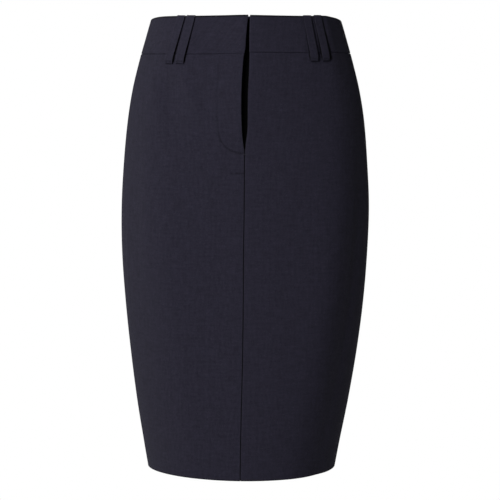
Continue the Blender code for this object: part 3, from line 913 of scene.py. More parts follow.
def painted_loop_shadow(angle, drop):
    """Painted shadow: 1 beneath a belt loop and in a strip beside its open edge, 0 elsewhere."""
    loop_shadow = np.zeros(np.shape(angle))
    level = np.clip(drop, 0, LENGTH)
    for loop in LOOPS:
        middle = angle_at(loop_x(loop, level), level, loop.at_back)
        away = wrapped(angle - middle) * half_width(level)
        opened = SHADOW_AT_TOP + (1 - SHADOW_AT_TOP) * smooth_step(level / loop.foot)
        reach = LOOP_WIDTH / 2 + np.where(away > 0, loop.hollow * opened, 0.0)
        inside = 1 - smooth_step((np.abs(away) - reach) / SHADOW_EASE + 1)
        above_foot = smooth_step((loop.foot - SHADOW_FOOT - drop) / SHADOW_FOOT)
        loop_shadow = np.maximum(loop_shadow, inside * above_foot)
    return loop_shadow


print("a loop leans from", LOOPS[0].top_x, "to", round(loop_x(LOOPS[0], LOOP_FOOT), 4), "m")

# %% [markdown]
# ## The front panels
#
# Each front is one piece of cloth from its side seam to the centre front. The right front's edge
# is the fly, so its allowance there is a wide facing. Rows and columns lie close together near
# edges and along the fly, where the form changes quickly, and further apart elsewhere, which
# keeps the mesh small without losing any of its shape.

# %% The rows of a panel
IN_BAND, ON_FACE, ROUND_HEM, TURNED_UP = range(4)


def panel_rows(drops, top_rows=()):
    """Drop, depth and kind of each row, from the top allowance to the end of the hem's turn."""
    parts = (
        ([BAND_RIGHT + row.below for row in top_rows], [row.depth for row in top_rows], IN_BAND),
        (drops, np.zeros(len(drops)), ON_FACE),
        (LENGTH - fold_inset, fold_depth, ROUND_HEM),
        (LENGTH - HEM_TURN * HEM_SHARES, np.full(len(HEM_SHARES), fold_depth[-1]), TURNED_UP),
    )
    kinds = [np.full(len(drop), kind) for drop, depth, kind in parts]
    return (
        np.concatenate([drop for drop, depth, kind in parts]),
        np.concatenate([depth for drop, depth, kind in parts]),
        np.concatenate(kinds),
    )


print("a panel has", len(panel_rows([], TOP_ROWS)[0]), "rows besides those of its face")

# %% [markdown]
# Laying a panel puts the pieces of that grid together. A column is of kind 0 on the face, 1 in a
# seam's fold and 2 in an allowance. Where rows and columns of the wrong kinds meet, for instance
# in the corner of an allowance and the hem, there is no cloth.

# %% Laying a panel
Patch = namedtuple("Patch", "points exists grain edge shade")
BAND_FOLLOW = 0.03                # below the band, rows turn from its slant to level over this length


def lay_panel(start, end, drops, from_start, from_end, start_turn, end_turn, lift, spacing,
              grain_from_end, exists_rule=None, painted_shade=None):
    """A grid of cloth with its folds, allowances and hem, as a Patch.

    start, end and the turns, which are the widths of the allowances, are functions of drop.
    from_start and from_end place the columns near the two edges, and spacing those between them.
    """
    row_drop, row_depth, row_kind = panel_rows(drops, TOP_ROWS)
    widths, angles_of = measure_rows(start(row_drop), end(row_drop), row_drop)
    distances = spread_columns(widths, from_start, from_end, spacing)

    def turned(turn):
        width = turn(row_drop)[:, None]
        folded = np.repeat(seam_inset[None, 1:], len(row_drop), axis=0)
        return np.concatenate([folded, seam_inset[-1] + width * ALLOWANCE_SHARES], axis=1)

    turn_depth = np.concatenate([seam_depth[1:], np.full(len(ALLOWANCE_SHARES), seam_depth[-1])])
    turn_kind = np.concatenate([np.ones(len(seam_depth) - 1), np.full(len(ALLOWANCE_SHARES), 2)])
    turn_shade = np.concatenate([seam_shade[1:], np.zeros(len(ALLOWANCE_SHARES))])
    all_distances = np.concatenate([
        turned(start_turn)[:, ::-1], distances, widths[:, None] - turned(end_turn)
    ], axis=1)
    middle = np.zeros(distances.shape[1])
    column_depth = np.concatenate([turn_depth[::-1], middle, turn_depth])
    column_kind = np.concatenate([turn_kind[::-1], middle, turn_kind])
    column_shade = np.concatenate([turn_shade[::-1], middle, turn_shade])
    angle = angles_of(all_distances)

    drop = np.repeat(row_drop[:, None], angle.shape[1], axis=1)
    follow = 1 - smooth_step((row_drop - BAND_RIGHT) / BAND_FOLLOW)[:, None]
    drop = drop + (band_foot(angle) - BAND_RIGHT) * follow
    depth = np.maximum(row_depth[:, None], column_depth[None, :])
    to_edge = np.minimum(all_distances, widths[:, None] - all_distances)
    to_top = drop - band_foot(angle)
    dip = SEAM_DIP * (bell(to_edge / SEAM_DIP_HALF) + bell(to_top / SEAM_DIP_HALF))
    points = raised(angle, drop, lift(angle, drop) + soft_folds(angle, drop) - dip - depth)

    kind_r, kind_c = row_kind[:, None], column_kind[None, :]
    exists = (kind_r <= ON_FACE) & (kind_c <= 1)
    exists |= (kind_r == ON_FACE) & (kind_c == 2) & (row_drop[:, None] < LENGTH - HEM_TURN)
    exists |= (kind_r >= ROUND_HEM) & (kind_c == 0)
    exists |= (kind_r == ROUND_HEM) & (kind_c == 1) & (depth <= SEAM_CORNER)
    if exists_rule is not None:
        exists &= exists_rule(column_kind, row_drop)
    along = widths[:, None] - all_distances if grain_from_end else all_distances
    grain = np.stack([along, -drop], axis=-1)
    nearness = bell(to_edge / EDGE_HALF)
    # painted shade at the hem's turn; the seams' painted shade comes with the columns
    hem_shade = bell((LENGTH - drop) / HEM_SHADE_HALF)
    # the loops' painted shadow, on the outer face only
    loop_shadow = np.where(depth < fold_depth[-1], painted_loop_shadow(angle, drop), 0.0)
    shade = np.maximum(np.maximum(hem_shade, column_shade), loop_shadow)
    if painted_shade is not None:
        shade = np.maximum(shade, painted_shade(angle, drop))
    return Patch(points, exists, grain, nearness, shade)


print("a patch of cloth keeps its", ", ".join(Patch._fields))


# %% From patches to a panel
def make_panel(node, *patches, merge=0.0):
    """Joins patches of cloth to one piece, and Solidify gives it its thickness."""
    faces, first = [], 0
    for patch in patches:
        faces.append(grid_faces(patch.exists, first))
        first += patch.exists.size
    points, grain, edge, shade = (
        np.concatenate([getattr(patch, column).reshape(-1, size) for patch in patches])
        for column, size in (("points", 3), ("grain", 2), ("edge", 1), ("shade", 1))
    )
    piece = new_piece(node + "_cloth", points, np.concatenate(faces), grain, suiting, node,
                      edge, shade, merge=merge)
    solidify = piece.modifiers.new("Thickness", "SOLIDIFY")
    solidify.thickness = THICKNESS
    solidify.offset = -1.0
    print(node, "has", len(piece.data.polygons), "faces and", round(mesh_area(piece), 4), "m2 of cloth")
    return piece


# %% The fronts' edges, rows and columns
def constant(value):
    return lambda drop: np.full(np.shape(drop), value)


FLY_CLOSED_FROM = 0.004           # below the fly the fronts are sewn edge to edge, from this far above
FLY_FACING = 0.038
FACING_FOOT, FACING_EASE = 0.192, 0.006
FRONT_SPACING = 0.0036            # between columns away from the edges
FACE_TOP, FACE_FOOT = BAND_RIGHT + 0.0013, LENGTH - 0.0008    # where a panel's face begins and ends


def closed_by(drop, foot, ease):
    """The angle by which an edge closes half the gap of a seam, from ease above foot."""
    return SEAM_GAP / 2 / half_width(drop) * smooth_step((drop - foot) / ease + 1)


def right_front_edge(drop):
    return over_edge(drop) + closed_by(drop, FLY_END, FLY_CLOSED_FROM)


def left_front_edge(drop):
    return under_edge(drop) - closed_by(drop, FLY_END, FLY_CLOSED_FROM)


def fly_facing(drop):
    """Width of the right front's allowance: the fly's facing, then a plain seam."""
    facing = 1 - smooth_step((drop - FACING_FOOT) / FACING_EASE)
    return SEAM_ALLOWANCE + (FLY_FACING - SEAM_ALLOWANCE) * facing


# The fly's columns lie close together as far as the J row, and the left front's as far as the
# loops. The rows change their spacing at the J's bend, the fly's foot and the facing's end.
plain_columns = np.concatenate([seam_inset[:1], NEAR_EDGE])
fly_columns = np.concatenate([plain_columns, np.arange(0.008, 0.0405, 0.0009)])
loop_columns = np.concatenate([plain_columns, np.arange(0.0085, 0.0965, 0.0015)])
plain_seam = constant(SEAM_ALLOWANCE)
front_rows = face_rows(
    (FACE_TOP, 0.060, 0.146, 0.190, 0.211, 0.218, LENGTH - 0.002, FACE_FOOT),
    (0.0010, 0.0022, 0.0009, 0.0020, 0.0008, 0.0040, 0.0004),
)
print("the fronts have", len(front_rows), "rows on their faces")

# %% The right front
PROUD = 0.00025                   # below the fly the right front's edge stands a little higher
PROUD_HALF = 0.0035
PROUD_EASE = 0.010


def right_front_lift(angle, drop):
    inset = from_over_edge(angle, drop)
    proud = PROUD * bell(inset / PROUD_HALF) * smooth_step((drop - FLY_END) / PROUD_EASE)
    return fly_relief(angle, drop) + front_form(angle, drop) + proud


# the right front also carries the painted shade of the fly's row
front_right = make_panel("front_right", lay_panel(
    constant(-math.pi / 2), right_front_edge, front_rows, plain_columns, fly_columns,
    plain_seam, fly_facing, right_front_lift, FRONT_SPACING, grain_from_end=True, painted_shade=fly_shade,
))

# %% [markdown]
# The left front is simpler: its edge lies under the fly beside the zip, with a plain allowance.

# %% The left front
front_left = make_panel("front_left", lay_panel(
    left_front_edge, constant(math.pi / 2), front_rows, plain_columns, loop_columns,
    plain_seam, plain_seam, front_form, FRONT_SPACING, grain_from_end=False,
))

# %% [markdown]
# ## The back panels and the vent
#
# The backs are joined by a centre back seam that stops above a vent, so that the wearer can walk.
# Below it the left back ends in a faced flap and the right back carries on beneath it as the
# underlap. Each back also has a dart: a wedge of cloth folded away inside, from the waist down
# to a point, which makes the cloth round over the seat. From outside a dart is a fine groove
# that fades out, and inside it is a slim ridge pressed towards the centre back.

# %% Darts and the vent's dip
VENT_DIP = 0.0021                 # how far the underlap lies below the left back
VENT_EASE = 0.025                 # length above the vent over which the cloth sinks to it
VENT_SINK, VENT_LEVEL = 0.012, 0.001    # and the width, up to and past the centre back
VENT_FACING, VENT_FACING_EASE = 0.034, 0.001
VENT_LAP_TURN = 0.010             # what the underlap's own edge turns under
VENT_CLOSED_FROM = 0.022          # the seam closes over this length above the vent
DART_SHARE = 0.46                 # of the way from the centre back to the side seam
DART_FOOT = 0.172
DART_DEPTH = 0.00045
DART_HALF = 0.0007
DART_FADE = 0.05                  # length over which it fades out above its foot
PUCKER_HEIGHT, PUCKER_HALF_LENGTH, PUCKER_HALF_WIDTH = 0.00035, 0.012, 0.010   # at its point
print("a dart's groove is", 1000 * DART_DEPTH, "mm deep and ends", DART_FOOT, "m down")


def side_distance(angle, drop, edge):
    """Distance along the back from its centre, from the chord of a finely divided arc."""
    share = np.linspace(0, 1, 13)
    steps = edge + (angle - edge)[..., None] * share
    points = form_point(steps, np.repeat(drop[..., None], share.size, axis=-1))
    return np.linalg.norm(np.diff(points, axis=-2), axis=-1).sum(axis=-1)


def dart_angle(drop, centre):
    """Angle of the dart's line. centre is pi for the left back and -pi for the right."""
    return centre - math.copysign(math.pi / 2 * DART_SHARE, centre) * np.ones(np.shape(drop))


def dart_groove(angle, drop, centre):
    away = (angle - dart_angle(drop, centre)) * MEAN_RADIUS
    fade = smooth_step((DART_FOOT - drop) / DART_FADE)
    pucker = bell((drop - DART_FOOT) / PUCKER_HALF_LENGTH) * bell(away / PUCKER_HALF_WIDTH)
    return PUCKER_HEIGHT * pucker - DART_DEPTH * fade * bell(away / DART_HALF)


def left_back_edge(drop):
    return math.pi + closed_by(drop, VENT_TOP, VENT_CLOSED_FROM)


def right_back_edge(drop):
    return -left_back_edge(drop)


def left_back_lift(angle, drop):
    return dart_groove(angle, drop, math.pi)


def right_back_lift(angle, drop):
    past_centre = np.where(angle < -math.pi, 1.0, -1.0) * side_distance(angle, drop, -math.pi)
    reached = smooth_step((past_centre + VENT_SINK) / (VENT_SINK - VENT_LEVEL))
    sunk = VENT_DIP * reached * smooth_step((drop - VENT_TOP) / VENT_EASE + 1)
    return dart_groove(angle, drop, -math.pi) - sunk


# %% The left back
BACK_SPACING = 0.0022             # fine enough for a dart's groove
back_rows = face_rows(
    (FACE_TOP, 0.060, 0.180, VENT_TOP - 0.001, VENT_TOP, LENGTH - 0.002, FACE_FOOT),
    (0.0010, 0.0030, 0.0040, 0.0010, 0.0040, 0.0004),
)


def back_turn(drop):
    """The allowance at the centre back widens to a facing beside the vent."""
    widened = smooth_step((drop - VENT_TOP) / VENT_FACING_EASE + 1)
    return SEAM_ALLOWANCE + (VENT_FACING - SEAM_ALLOWANCE) * widened


back_left = make_panel("back_left", lay_panel(
    constant(math.pi / 2), left_back_edge, back_rows, plain_columns, plain_columns,
    plain_seam, back_turn, left_back_lift, BACK_SPACING, grain_from_end=True,
))

# %% [markdown]
# The right back isn't folded at its centre edge below the vent's top. There a second patch of
# cloth, the underlap, carries its face on past the centre back, and the two are merged where
# they meet.

# %% The right back and its underlap
def only_above_vent(column_kind, row_drop):
    """The right back's centre edge is folded only above the vent."""
    first_face = int(np.argmax(column_kind == 0))
    keep = np.ones((len(row_drop), len(column_kind)), bool)
    keep[:, :first_face] = (row_drop < VENT_TOP + 1e-6)[:, None]
    return keep


def lay_underlap(drops):
    """The vent's underlap: from the right back's first face column past the centre back."""
    row_drop, row_depth, row_kind = panel_rows(drops)
    edge = -VENT_LAP
    beyond = np.concatenate([
        edge + VENT_LAP_TURN * np.array([1.0, 0.5]), edge + fold_inset[::-1],
        np.linspace(edge + 0.003, -0.001, 10), [0.0, seam_inset[0]],
    ])
    column_depth = np.concatenate([[fold_depth[-1]] * 2, fold_depth[::-1], np.zeros(12)])
    start = np.full(len(row_drop), -math.pi)
    angles_of = measure_rows(start, start + 1.0, row_drop)[1]
    distances = np.repeat(beyond[None, :], len(row_drop), axis=0)
    angle = angles_of(distances)
    drop = np.repeat(row_drop[:, None], angle.shape[1], axis=1)
    depth = np.maximum(row_depth[:, None], column_depth[None, :])
    lift = right_back_lift(angle, drop) + soft_folds(angle, drop)
    points = raised(angle, drop, lift - SEAM_DIP * bell(distances / SEAM_DIP_HALF) - depth)
    exists = (row_kind == ON_FACE)[:, None] | (row_depth[:, None] == 0) | (column_depth == 0)[None, :]
    exists &= ~((row_drop[:, None] > LENGTH - HEM_TURN) & (np.arange(len(beyond)) < 2)[None, :])
    grain = np.stack([distances, -drop], axis=-1)
    # the last value is the painted shade at the hem's turn
    return Patch(points, exists, grain, np.zeros(drop.shape), bell((LENGTH - drop) / HEM_SHADE_HALF))


back_right = make_panel(
    "back_right",
    lay_panel(
        right_back_edge, constant(-math.pi / 2), back_rows, plain_columns, plain_columns,
        plain_seam, plain_seam, right_back_lift, BACK_SPACING, grain_from_end=False,
        exists_rule=only_above_vent,
    ),
    lay_underlap(back_rows[back_rows >= VENT_TOP - 1e-9]),
    merge=2e-5,
)

# %% [markdown]
# ## The waistband
#
# A waistband is folded cloth with stiffening inside, so it is thick, smooth and rounded along its
# top. It could be a bevelled box, but its ends, its lower seam and its curve all differ. So each
# half is a tube: the same closed section, half round at the top and softly rounded at the seam,
# set up at every place round the waist. At the ends the section closes to nothing on a quarter
# circle, which rounds them like turned cloth.

# %% The band's section
BAND_WALL = 0.0024
FOOT_RADIUS = 0.0006
FACE_FROM, FACE_TO = 0.96, 0.06   # shares of the height between which the face is flat
SectionPoint = namedtuple("SectionPoint", "share offset depth")


def band_section(face_points=14, round_points=6):
    """One closed section: up the face, over the top and down the inside, then back below."""

    def corner(turn, radius):
        return radius * (1 - math.sin(turn)), radius * (1 - math.cos(turn))

    rounds = [corner(turn, FOOT_RADIUS) for turn in np.linspace(math.pi / 2, 0, 5)]
    face = [SectionPoint(1.0, -SEAM_GAP / 2 - offset, depth) for offset, depth in rounds]
    face += [SectionPoint(share, 0.0, 0.0) for share in np.linspace(FACE_FROM, FACE_TO, face_points)]
    face += [SectionPoint(0.0, *corner(turn, BAND_WALL / 2))
             for turn in np.linspace(0, math.pi / 2, round_points)]
    inside = [p._replace(depth=BAND_WALL - p.depth) for p in face[-2::-1]]
    return face + inside


def closed_tube(rings, around, first=0):
    """Faces between consecutive closed rings of points."""
    index = first + np.arange(rings * around).reshape(rings, around)
    following = np.roll(index, -1, axis=1)
    corners = np.stack([index[:-1], index[1:], following[1:], following[:-1]], axis=-1)
    return corners.reshape(-1, 4)


print(len(band_section()), "points in the band's section")

# %% Setting up the band
END_STEPS = np.array([0.0, 0.03, 0.1, 0.22, 0.4, 0.65, 1.0])    # shares of an end's rounding
BAND_NEAR_END = [0.002, 0.003, 0.0045, 0.006]    # and the next places, in metres from the end
BAND_SPACING = 0.0013
BAND_UNEVEN = 0.00012             # stiffening and seams inside the band show through this much


def rounded_end(to_end, half):
    """Share of its thickness that a tube has this near to an end, which closes on a quarter circle."""
    return np.sqrt(1 - (1 - np.clip(to_end / half, 0, 1)) ** 2)


def lay_band(start, end, lift):
    """Points, grain, edge nearness and shade of half the band. start and end give angles for a drop."""
    section = band_section()
    half = BAND_WALL / 2
    shares = np.array([p.share for p in section])
    offsets = np.array([p.offset for p in section])
    depths = np.array([p.depth for p in section])
    level = BAND_RIGHT * shares + offsets
    near = np.concatenate([half * END_STEPS, BAND_NEAR_END])
    widths, angles_of = measure_rows(start(level), end(level), np.maximum(level, 0.0))
    distances = spread_columns(widths, near, near, BAND_SPACING)
    angle = angles_of(distances).T
    distances, widths = distances.T, widths[None, :]
    drop = rim(angle) + (band_foot(angle) - rim(angle)) * shares + offsets
    to_end = np.minimum(distances, widths - distances)
    depth = half + (depths - half) * rounded_end(to_end, half)
    level = np.maximum(drop, 0)
    points = raised(angle, level, lift(angle, level) - depth)
    points[..., 2] += level - drop
    nearness = bell(to_end / EDGE_HALF)
    # painted shade along the band's rounded top edge
    rim_shade = 1 - smooth_step((drop - rim(angle) - RIM_SHADE_FROM) / (RIM_SHADE_TO - RIM_SHADE_FROM))
    # and the loops' painted shadow on the band's outer face
    shade = np.maximum(rim_shade, np.where(depths < half, painted_loop_shadow(angle, drop), 0.0))
    grain = np.stack([distances, -drop], axis=-1)
    return points, grain, nearness, shade


def make_band_half(name, node, start, end, lift):
    points, grain, edge, shade = lay_band(start, end, lift)
    faces = closed_tube(*points.shape[:2])
    return new_piece(name, points, faces, grain, suiting, node, edge, shade, merge=1e-6)


def band_soft(angle, drop):
    """The band isn't quite flat between its edges."""
    wave = np.sin(5 * angle + 0.7) + 0.6 * np.sin(11 * angle + 2.1)
    return BAND_UNEVEN * wave * np.sin(np.clip(drop / BAND_RIGHT, 0, 1) * math.pi)


def left_band_lift(angle, drop):
    return front_form(angle, drop) + band_soft(angle, drop)


def lap_lift(angle, drop):
    """The fastened end of the right half stands off the underlap, at the front only."""
    lift = LAP_LIFT * smooth_step(1 - from_over_edge(angle, drop) / FLY_WIDTH)
    return np.where(np.abs(angle) < 1.5, lift, 0.0) + left_band_lift(angle, drop)


band_right = make_band_half(
    "waistband_right_cloth", "waistband_right", constant(-math.pi + SEAM_GAP), over_edge, lap_lift
)
print("right half of the band:", len(band_right.data.polygons), "faces")

# %% [markdown]
# The left half carries on behind the fastened end as an underlap, which takes the bar of the
# waist fastening. It is a second, thinner tube that starts inside the left half.

# %% The left half and its underlap
UNDERLAP = 0.030                  # how far it reaches behind the right half
UNDERLAP_WALL = 0.0020
UNDERLAP_DEPTH = 0.0043           # how deep its face lies there
UNDERLAP_FROM, UNDERLAP_JOIN = 0.006, 0.016    # it comes up into the left half between these
UNDERLAP_INSET = 0.0006
JOIN_DEPTH = 0.0015               # how deep its face lies where it joins
JOIN_SQUEEZE = 0.45               # and the share of its thickness, to be no thicker than the half

band_left = make_band_half(
    "waistband_left_cloth", "waistband_left", under_edge, constant(math.pi - SEAM_GAP), left_band_lift
)


def make_underlap():
    section = band_section(10, 4)
    scale = UNDERLAP_WALL / BAND_WALL
    depths = np.array([p.depth for p in section]) * scale
    height = BAND_LEFT - 2 * UNDERLAP_INSET
    levels = UNDERLAP_INSET + np.array([height * p.share + p.offset for p in section])
    half = UNDERLAP_WALL / 2
    steps = np.concatenate([
        -UNDERLAP + half * END_STEPS,
        np.linspace(-UNDERLAP + 0.003, UNDERLAP_JOIN - 0.003, 24),
        UNDERLAP_JOIN - half * END_STEPS[::-1],
    ])[:, None]
    levels = np.repeat(levels[None, :], len(steps), axis=0)
    angle = angle_at(through(FLY, "over_edge", levels) + steps, levels)
    sunk = smooth_step((UNDERLAP_JOIN - steps) / (UNDERLAP_JOIN - UNDERLAP_FROM))
    outer = JOIN_DEPTH + (UNDERLAP_DEPTH - JOIN_DEPTH) * sunk
    squeezed = JOIN_SQUEEZE + (1 - JOIN_SQUEEZE) * sunk
    closing = rounded_end(np.minimum(steps + UNDERLAP, UNDERLAP_JOIN - steps), half)
    depth = outer + half + (depths[None, :] - half) * closing * squeezed - half * (1 - squeezed)
    points = raised(angle, levels, -depth)
    grain = np.stack([np.repeat(steps, levels.shape[1], axis=1), -levels], axis=-1)
    return new_piece(
        "waistband_underlap", points, closed_tube(*points.shape[:2]), grain, suiting, merge=1e-6
    )


underlap = make_underlap()
print("left half of the band:", len(band_left.data.polygons), "faces,",
      "its underlap", len(underlap.data.polygons))

# %% [markdown]
# ## Belt loops
#
# A belt loop is a strip of several layers, thick for its width, with its ends turned under and
# tacked down at the band's top edge and just below the waist seam. Between the tacks it bows away
# from the band, and that gap makes part of its dark shadow; the rest is painted shade on the band,
# on the loop's open edge and on its underside. A curve with a bevel would give a round strap. So a
# flat section with rounded corners is carried along a path that doubles back at both ends, where
# the strip is pressed thinner.

# %% The path and the section of a loop
def loop_clear(loop, drops):
    """How far the inside of a loop stands off the skirt. Shorter loops squeeze the profile."""
    squeezed = (LOOP_FOOT - LOOP_TOP) / (loop.foot - LOOP_TOP)
    return through(LOOP_PROFILE, "clear", LOOP_TOP + (drops - LOOP_TOP) * squeezed)


def loop_path(loop):
    """Drops, heights and thickness of the strip, from the turned top end to the turned foot."""
    bend = (LOOP_WALL - STRIP_PRESSED) / 2
    turn = np.linspace(0, math.pi, 9)
    low = STRIP_PRESSED / 2
    top_clear, foot_clear = LOOP_PROFILE[0].clear, LOOP_PROFILE[-1].clear
    top, foot = LOOP_TOP + low + LOOP_TOP_LOWER, loop.foot - low
    run = np.linspace(top + bend, foot - bend, 42)[1:-1]
    to_bend = np.minimum(run - run[0], run[-1] - run)
    run_thickness = STRIP_PRESSED + (STRIP - STRIP_PRESSED) * smooth_step(to_bend / STRIP_EASE)
    drops = np.concatenate([
        np.linspace(STRIP_TURN, top + bend, 6)[:-1],
        top + bend * (1 - np.sin(turn)),
        run,
        foot - bend * (1 - np.sin(turn)),
        np.linspace(foot - bend, foot - STRIP_TURN, 6)[1:],
    ])
    heights = np.concatenate([
        np.full(5, top_clear + low),
        top_clear + low + bend * (1 - np.cos(turn)),
        loop_clear(loop, run) + LOOP_WALL - run_thickness / 2,
        foot_clear + low + bend * (1 + np.cos(turn)),
        np.full(5, foot_clear + low),
    ])
    ends = np.full(5 + len(turn), STRIP_PRESSED)
    return drops, heights, np.concatenate([ends, run_thickness, ends])


def strip_section(width, thickness, corner, flat_points=5, corner_points=3):
    """Across and out offsets round a flat section with rounded corners, one ring for each thickness.

    Each ring starts in the middle of its left side and goes along the inside first, so that the
    n-th point and the n-th from the end lie opposite each other.
    """
    reach = width / 2 - corner
    turn = (np.arange(corner_points) + 0.5) / corner_points * math.pi / 2
    inner = np.concatenate([-reach - corner * np.cos(turn), np.linspace(-reach, reach, flat_points),
                            reach + corner * np.cos(turn[::-1])])
    bulge = np.concatenate([np.sin(turn), np.ones(flat_points), np.sin(turn[::-1])]) * corner
    out = np.reshape(thickness, (-1, 1)) / 2 - corner + bulge
    return np.concatenate([inner, inner[::-1]]), np.concatenate([-out, out[:, ::-1]], axis=1)


print("a loop's path has", len(loop_path(LOOPS[0])[0]), "points")


# %% Making the loops
def capped_tube(rings, around):
    """Faces of a closed tube, with quads from side to side across its two ends."""
    k = np.arange(around // 2 - 1)
    quads = np.stack([k, k + 1, around - 2 - k, around - 1 - k], axis=-1)
    return np.concatenate([closed_tube(rings, around), quads, quads[:, ::-1] + (rings - 1) * around])


def make_loop(loop):
    drops, heights, thickness = loop_path(loop)
    across, out = strip_section(LOOP_WIDTH, thickness, STRIP_CORNER, flat_points=13)
    level = np.maximum(drops, 0.0)
    angle = angle_at(loop_x(loop, drops), level, loop.at_back)
    sideways = form_across(angle, level)
    centre = raised(angle, level, heights + front_form(angle, level))
    centre[:, 2] += level - drops
    along = unit(np.gradient(centre, axis=0))
    outward = unit(np.cross(along, sideways))
    sideways = np.cross(outward, along)
    crown = CROWN * np.cos(across / (LOOP_WIDTH / 2) * math.pi / 2)
    points = (
        centre[:, None, :]
        + sideways[:, None, :] * across[None, :, None]
        + outward[:, None, :] * (out + crown)[..., None]
    )
    lengths = np.concatenate([[0], np.linalg.norm(np.diff(centre, axis=0), axis=1).cumsum()])
    grain = np.stack(np.broadcast_arrays(across[None, :] + out, -lengths[:, None]), axis=-1)
    edge = bell((LOOP_WIDTH / 2 - np.abs(across)) / LOOP_EDGE_HALF)
    edge = np.repeat(edge[None, :], len(drops), axis=0)
    # painted shade on the loop's open edge, on the side towards the wearer's left, and on its underside
    rolled = max(STRIP_CORNER / 2, loop.rolled)
    shade = ((across[None, :] > LOOP_WIDTH / 2 - rolled) | (out < 0)) * 1.0
    faces = capped_tube(*points.shape[:2])
    name = loop.name + "_cloth"
    return new_piece(name, points, faces, grain, suiting, loop.name, edge, shade), lengths[-1]


for loop in LOOPS:
    made, strip_length = make_loop(loop)

# %% [markdown]
# ## Sewing
#
# Machine stitches lie on the cloth as short lengths of thread that dive into it at both ends.
# They are too many to place by hand and too small to need much detail, so one rounded stitch is
# worked out and copied along a line, and each row of sewing is one mesh.

# %% A row of stitches
THREAD = 0.00034                  # diameter of the sewing thread
STITCH, STITCH_GAP = 0.0024, 0.0005


def stitch_shape(length, thickness, rings=6, around=6):
    """Points of one stitch along X, as rings. It arches in Z, dives in at both ends and closes there."""
    share = np.linspace(0, 1, rings)
    turn = np.linspace(0, 2 * math.pi, around, endpoint=False)
    radius = thickness / 2 * np.sqrt(np.clip(1 - (2 * share - 1) ** 4, 0.002, 1))
    arch = thickness * 0.9 * (np.sin(share * math.pi) ** 0.7 - 0.75)
    x = (share - 0.5) * length
    return np.stack([
        np.repeat(x[:, None], around, axis=1),
        radius[:, None] * np.cos(turn)[None, :],
        radius[:, None] * np.sin(turn)[None, :] + arch[:, None],
    ], axis=-1)


def sew(name, places, length=STITCH, thickness=THREAD, material=thread):
    """One mesh of many stitches. places are (centre, along, outward) of each."""
    shape = stitch_shape(length, thickness)
    rings, around = shape.shape[:2]
    all_points, all_faces, all_grain = [], [], []
    for centre, along, outward in places:
        sideways = np.cross(outward, along)
        points = centre + shape[..., :1] * along + shape[..., 1:2] * sideways + shape[..., 2:] * outward
        all_faces.append(closed_tube(rings, around, first=len(all_points) * rings * around)[:, ::-1])
        all_points.append(points.reshape(-1, 3))
        all_grain.append(shape[..., :2].reshape(-1, 2))
    return new_piece(
        name, np.concatenate(all_points), np.concatenate(all_faces), np.concatenate(all_grain),
        material,
    )


def along_line(points, outward, pitch):
    """Places at even steps along a line of points."""
    steps = np.linalg.norm(np.diff(points, axis=0), axis=1)
    lengths = np.concatenate([[0], steps.cumsum()])
    places = []
    for at in np.arange(pitch / 2, lengths[-1], pitch):
        centre = np.array([np.interp(at, lengths, points[:, k]) for k in range(3)])
        up = unit(np.array([np.interp(at, lengths, outward[:, k]) for k in range(3)]))
        k = min(int(np.searchsorted(lengths, at)), len(points) - 1)
        run = unit(points[k] - points[k - 1])
        run = unit(run - up * np.dot(run, up))
        places.append((centre, run, up))
    return places


STITCH_FACES = len(closed_tube(*stitch_shape(STITCH, THREAD).shape[:2]))


def stitch_count(sewing):
    return len(sewing.data.polygons) // STITCH_FACES


print("one stitch has", STITCH_FACES, "faces")


# %% The J row on the fly
def sew_fly():
    insets, drops = j_line()
    angle = over_edge(drops) - insets / half_width(drops)
    outward = form_normal(angle, drops)
    height = right_front_lift(angle, drops) + soft_folds(angle, drops)
    points = raised(angle, drops, height + THREAD * 0.10)
    return sew("fly_stitching", along_line(points, outward, STITCH + STITCH_GAP))


fly_stitching = sew_fly()
print("stitches on the fly:", stitch_count(fly_stitching))

# %% [markdown]
# Bar tacks are dense rows of upright stitches. They hold the belt loops' feet, the foot of the
# fly and the top of the vent, the three places that would tear first.

# %% Bar tacks
TACK_PITCH = 0.00055
TACK_HEIGHT = 0.0017
LOOP_TACK_UP = 0.0030             # above the loop's foot
LOOP_TACK_WIDTH = 0.0095


def tack_places(x, drop, width, height_above, at_back=False, lean=0.0):
    """Upright stitches side by side across a place on the skirt."""
    offsets = np.arange(-width / 2, width / 2 + 1e-6, TACK_PITCH)
    drops = np.full(offsets.shape, drop)
    angle = angle_at(x + offsets, drops, at_back)
    outward = form_normal(angle, drops)
    below = form_point(angle_at(x + offsets + lean * STEP, drops + STEP, at_back), drops + STEP)
    run = unit(below - form_point(angle, drops))
    run = unit(run - outward * (run * outward).sum(axis=1, keepdims=True))
    centre = form_point(angle, drops) + outward * height_above
    return list(zip(centre, run, outward))


def sew_loop_tacks(loop):
    drop = loop.foot - LOOP_TACK_UP
    slope = (loop.foot_x - loop.top_x) / (loop.foot - LOOP_TOP)
    x = loop_x(loop, drop)
    clear = loop_clear(loop, np.array([drop]))[0]
    # where the skirt curves away to the sides, the same tack spans less of x
    width = LOOP_TACK_WIDTH * math.cos(math.atan2(x, MEAN_RADIUS)) ** 0.5
    angle = angle_at(np.array([x]), np.array([drop]), loop.at_back)
    height = clear + LOOP_WALL + THREAD * 0.2 + front_form(angle, np.array([drop]))[0]
    return tack_places(x, drop, width, height, loop.at_back, slope)


loop_tacks = sew(
    "belt_loop_tacks", [p for loop in LOOPS for p in sew_loop_tacks(loop)], TACK_HEIGHT, THREAD * 1.1
)
print("stitches in the loops' tacks:", stitch_count(loop_tacks))


# %% The tacks at the foot of the fly and at the top of the vent
FLY_TACK_DROP = 0.1885
FLY_TACK_WIDTH = 0.0048
VENT_TACK_DROP = VENT_TOP - 0.0030
VENT_TACK_WIDTH = 0.0100
FLY_TACK_X = -0.0006


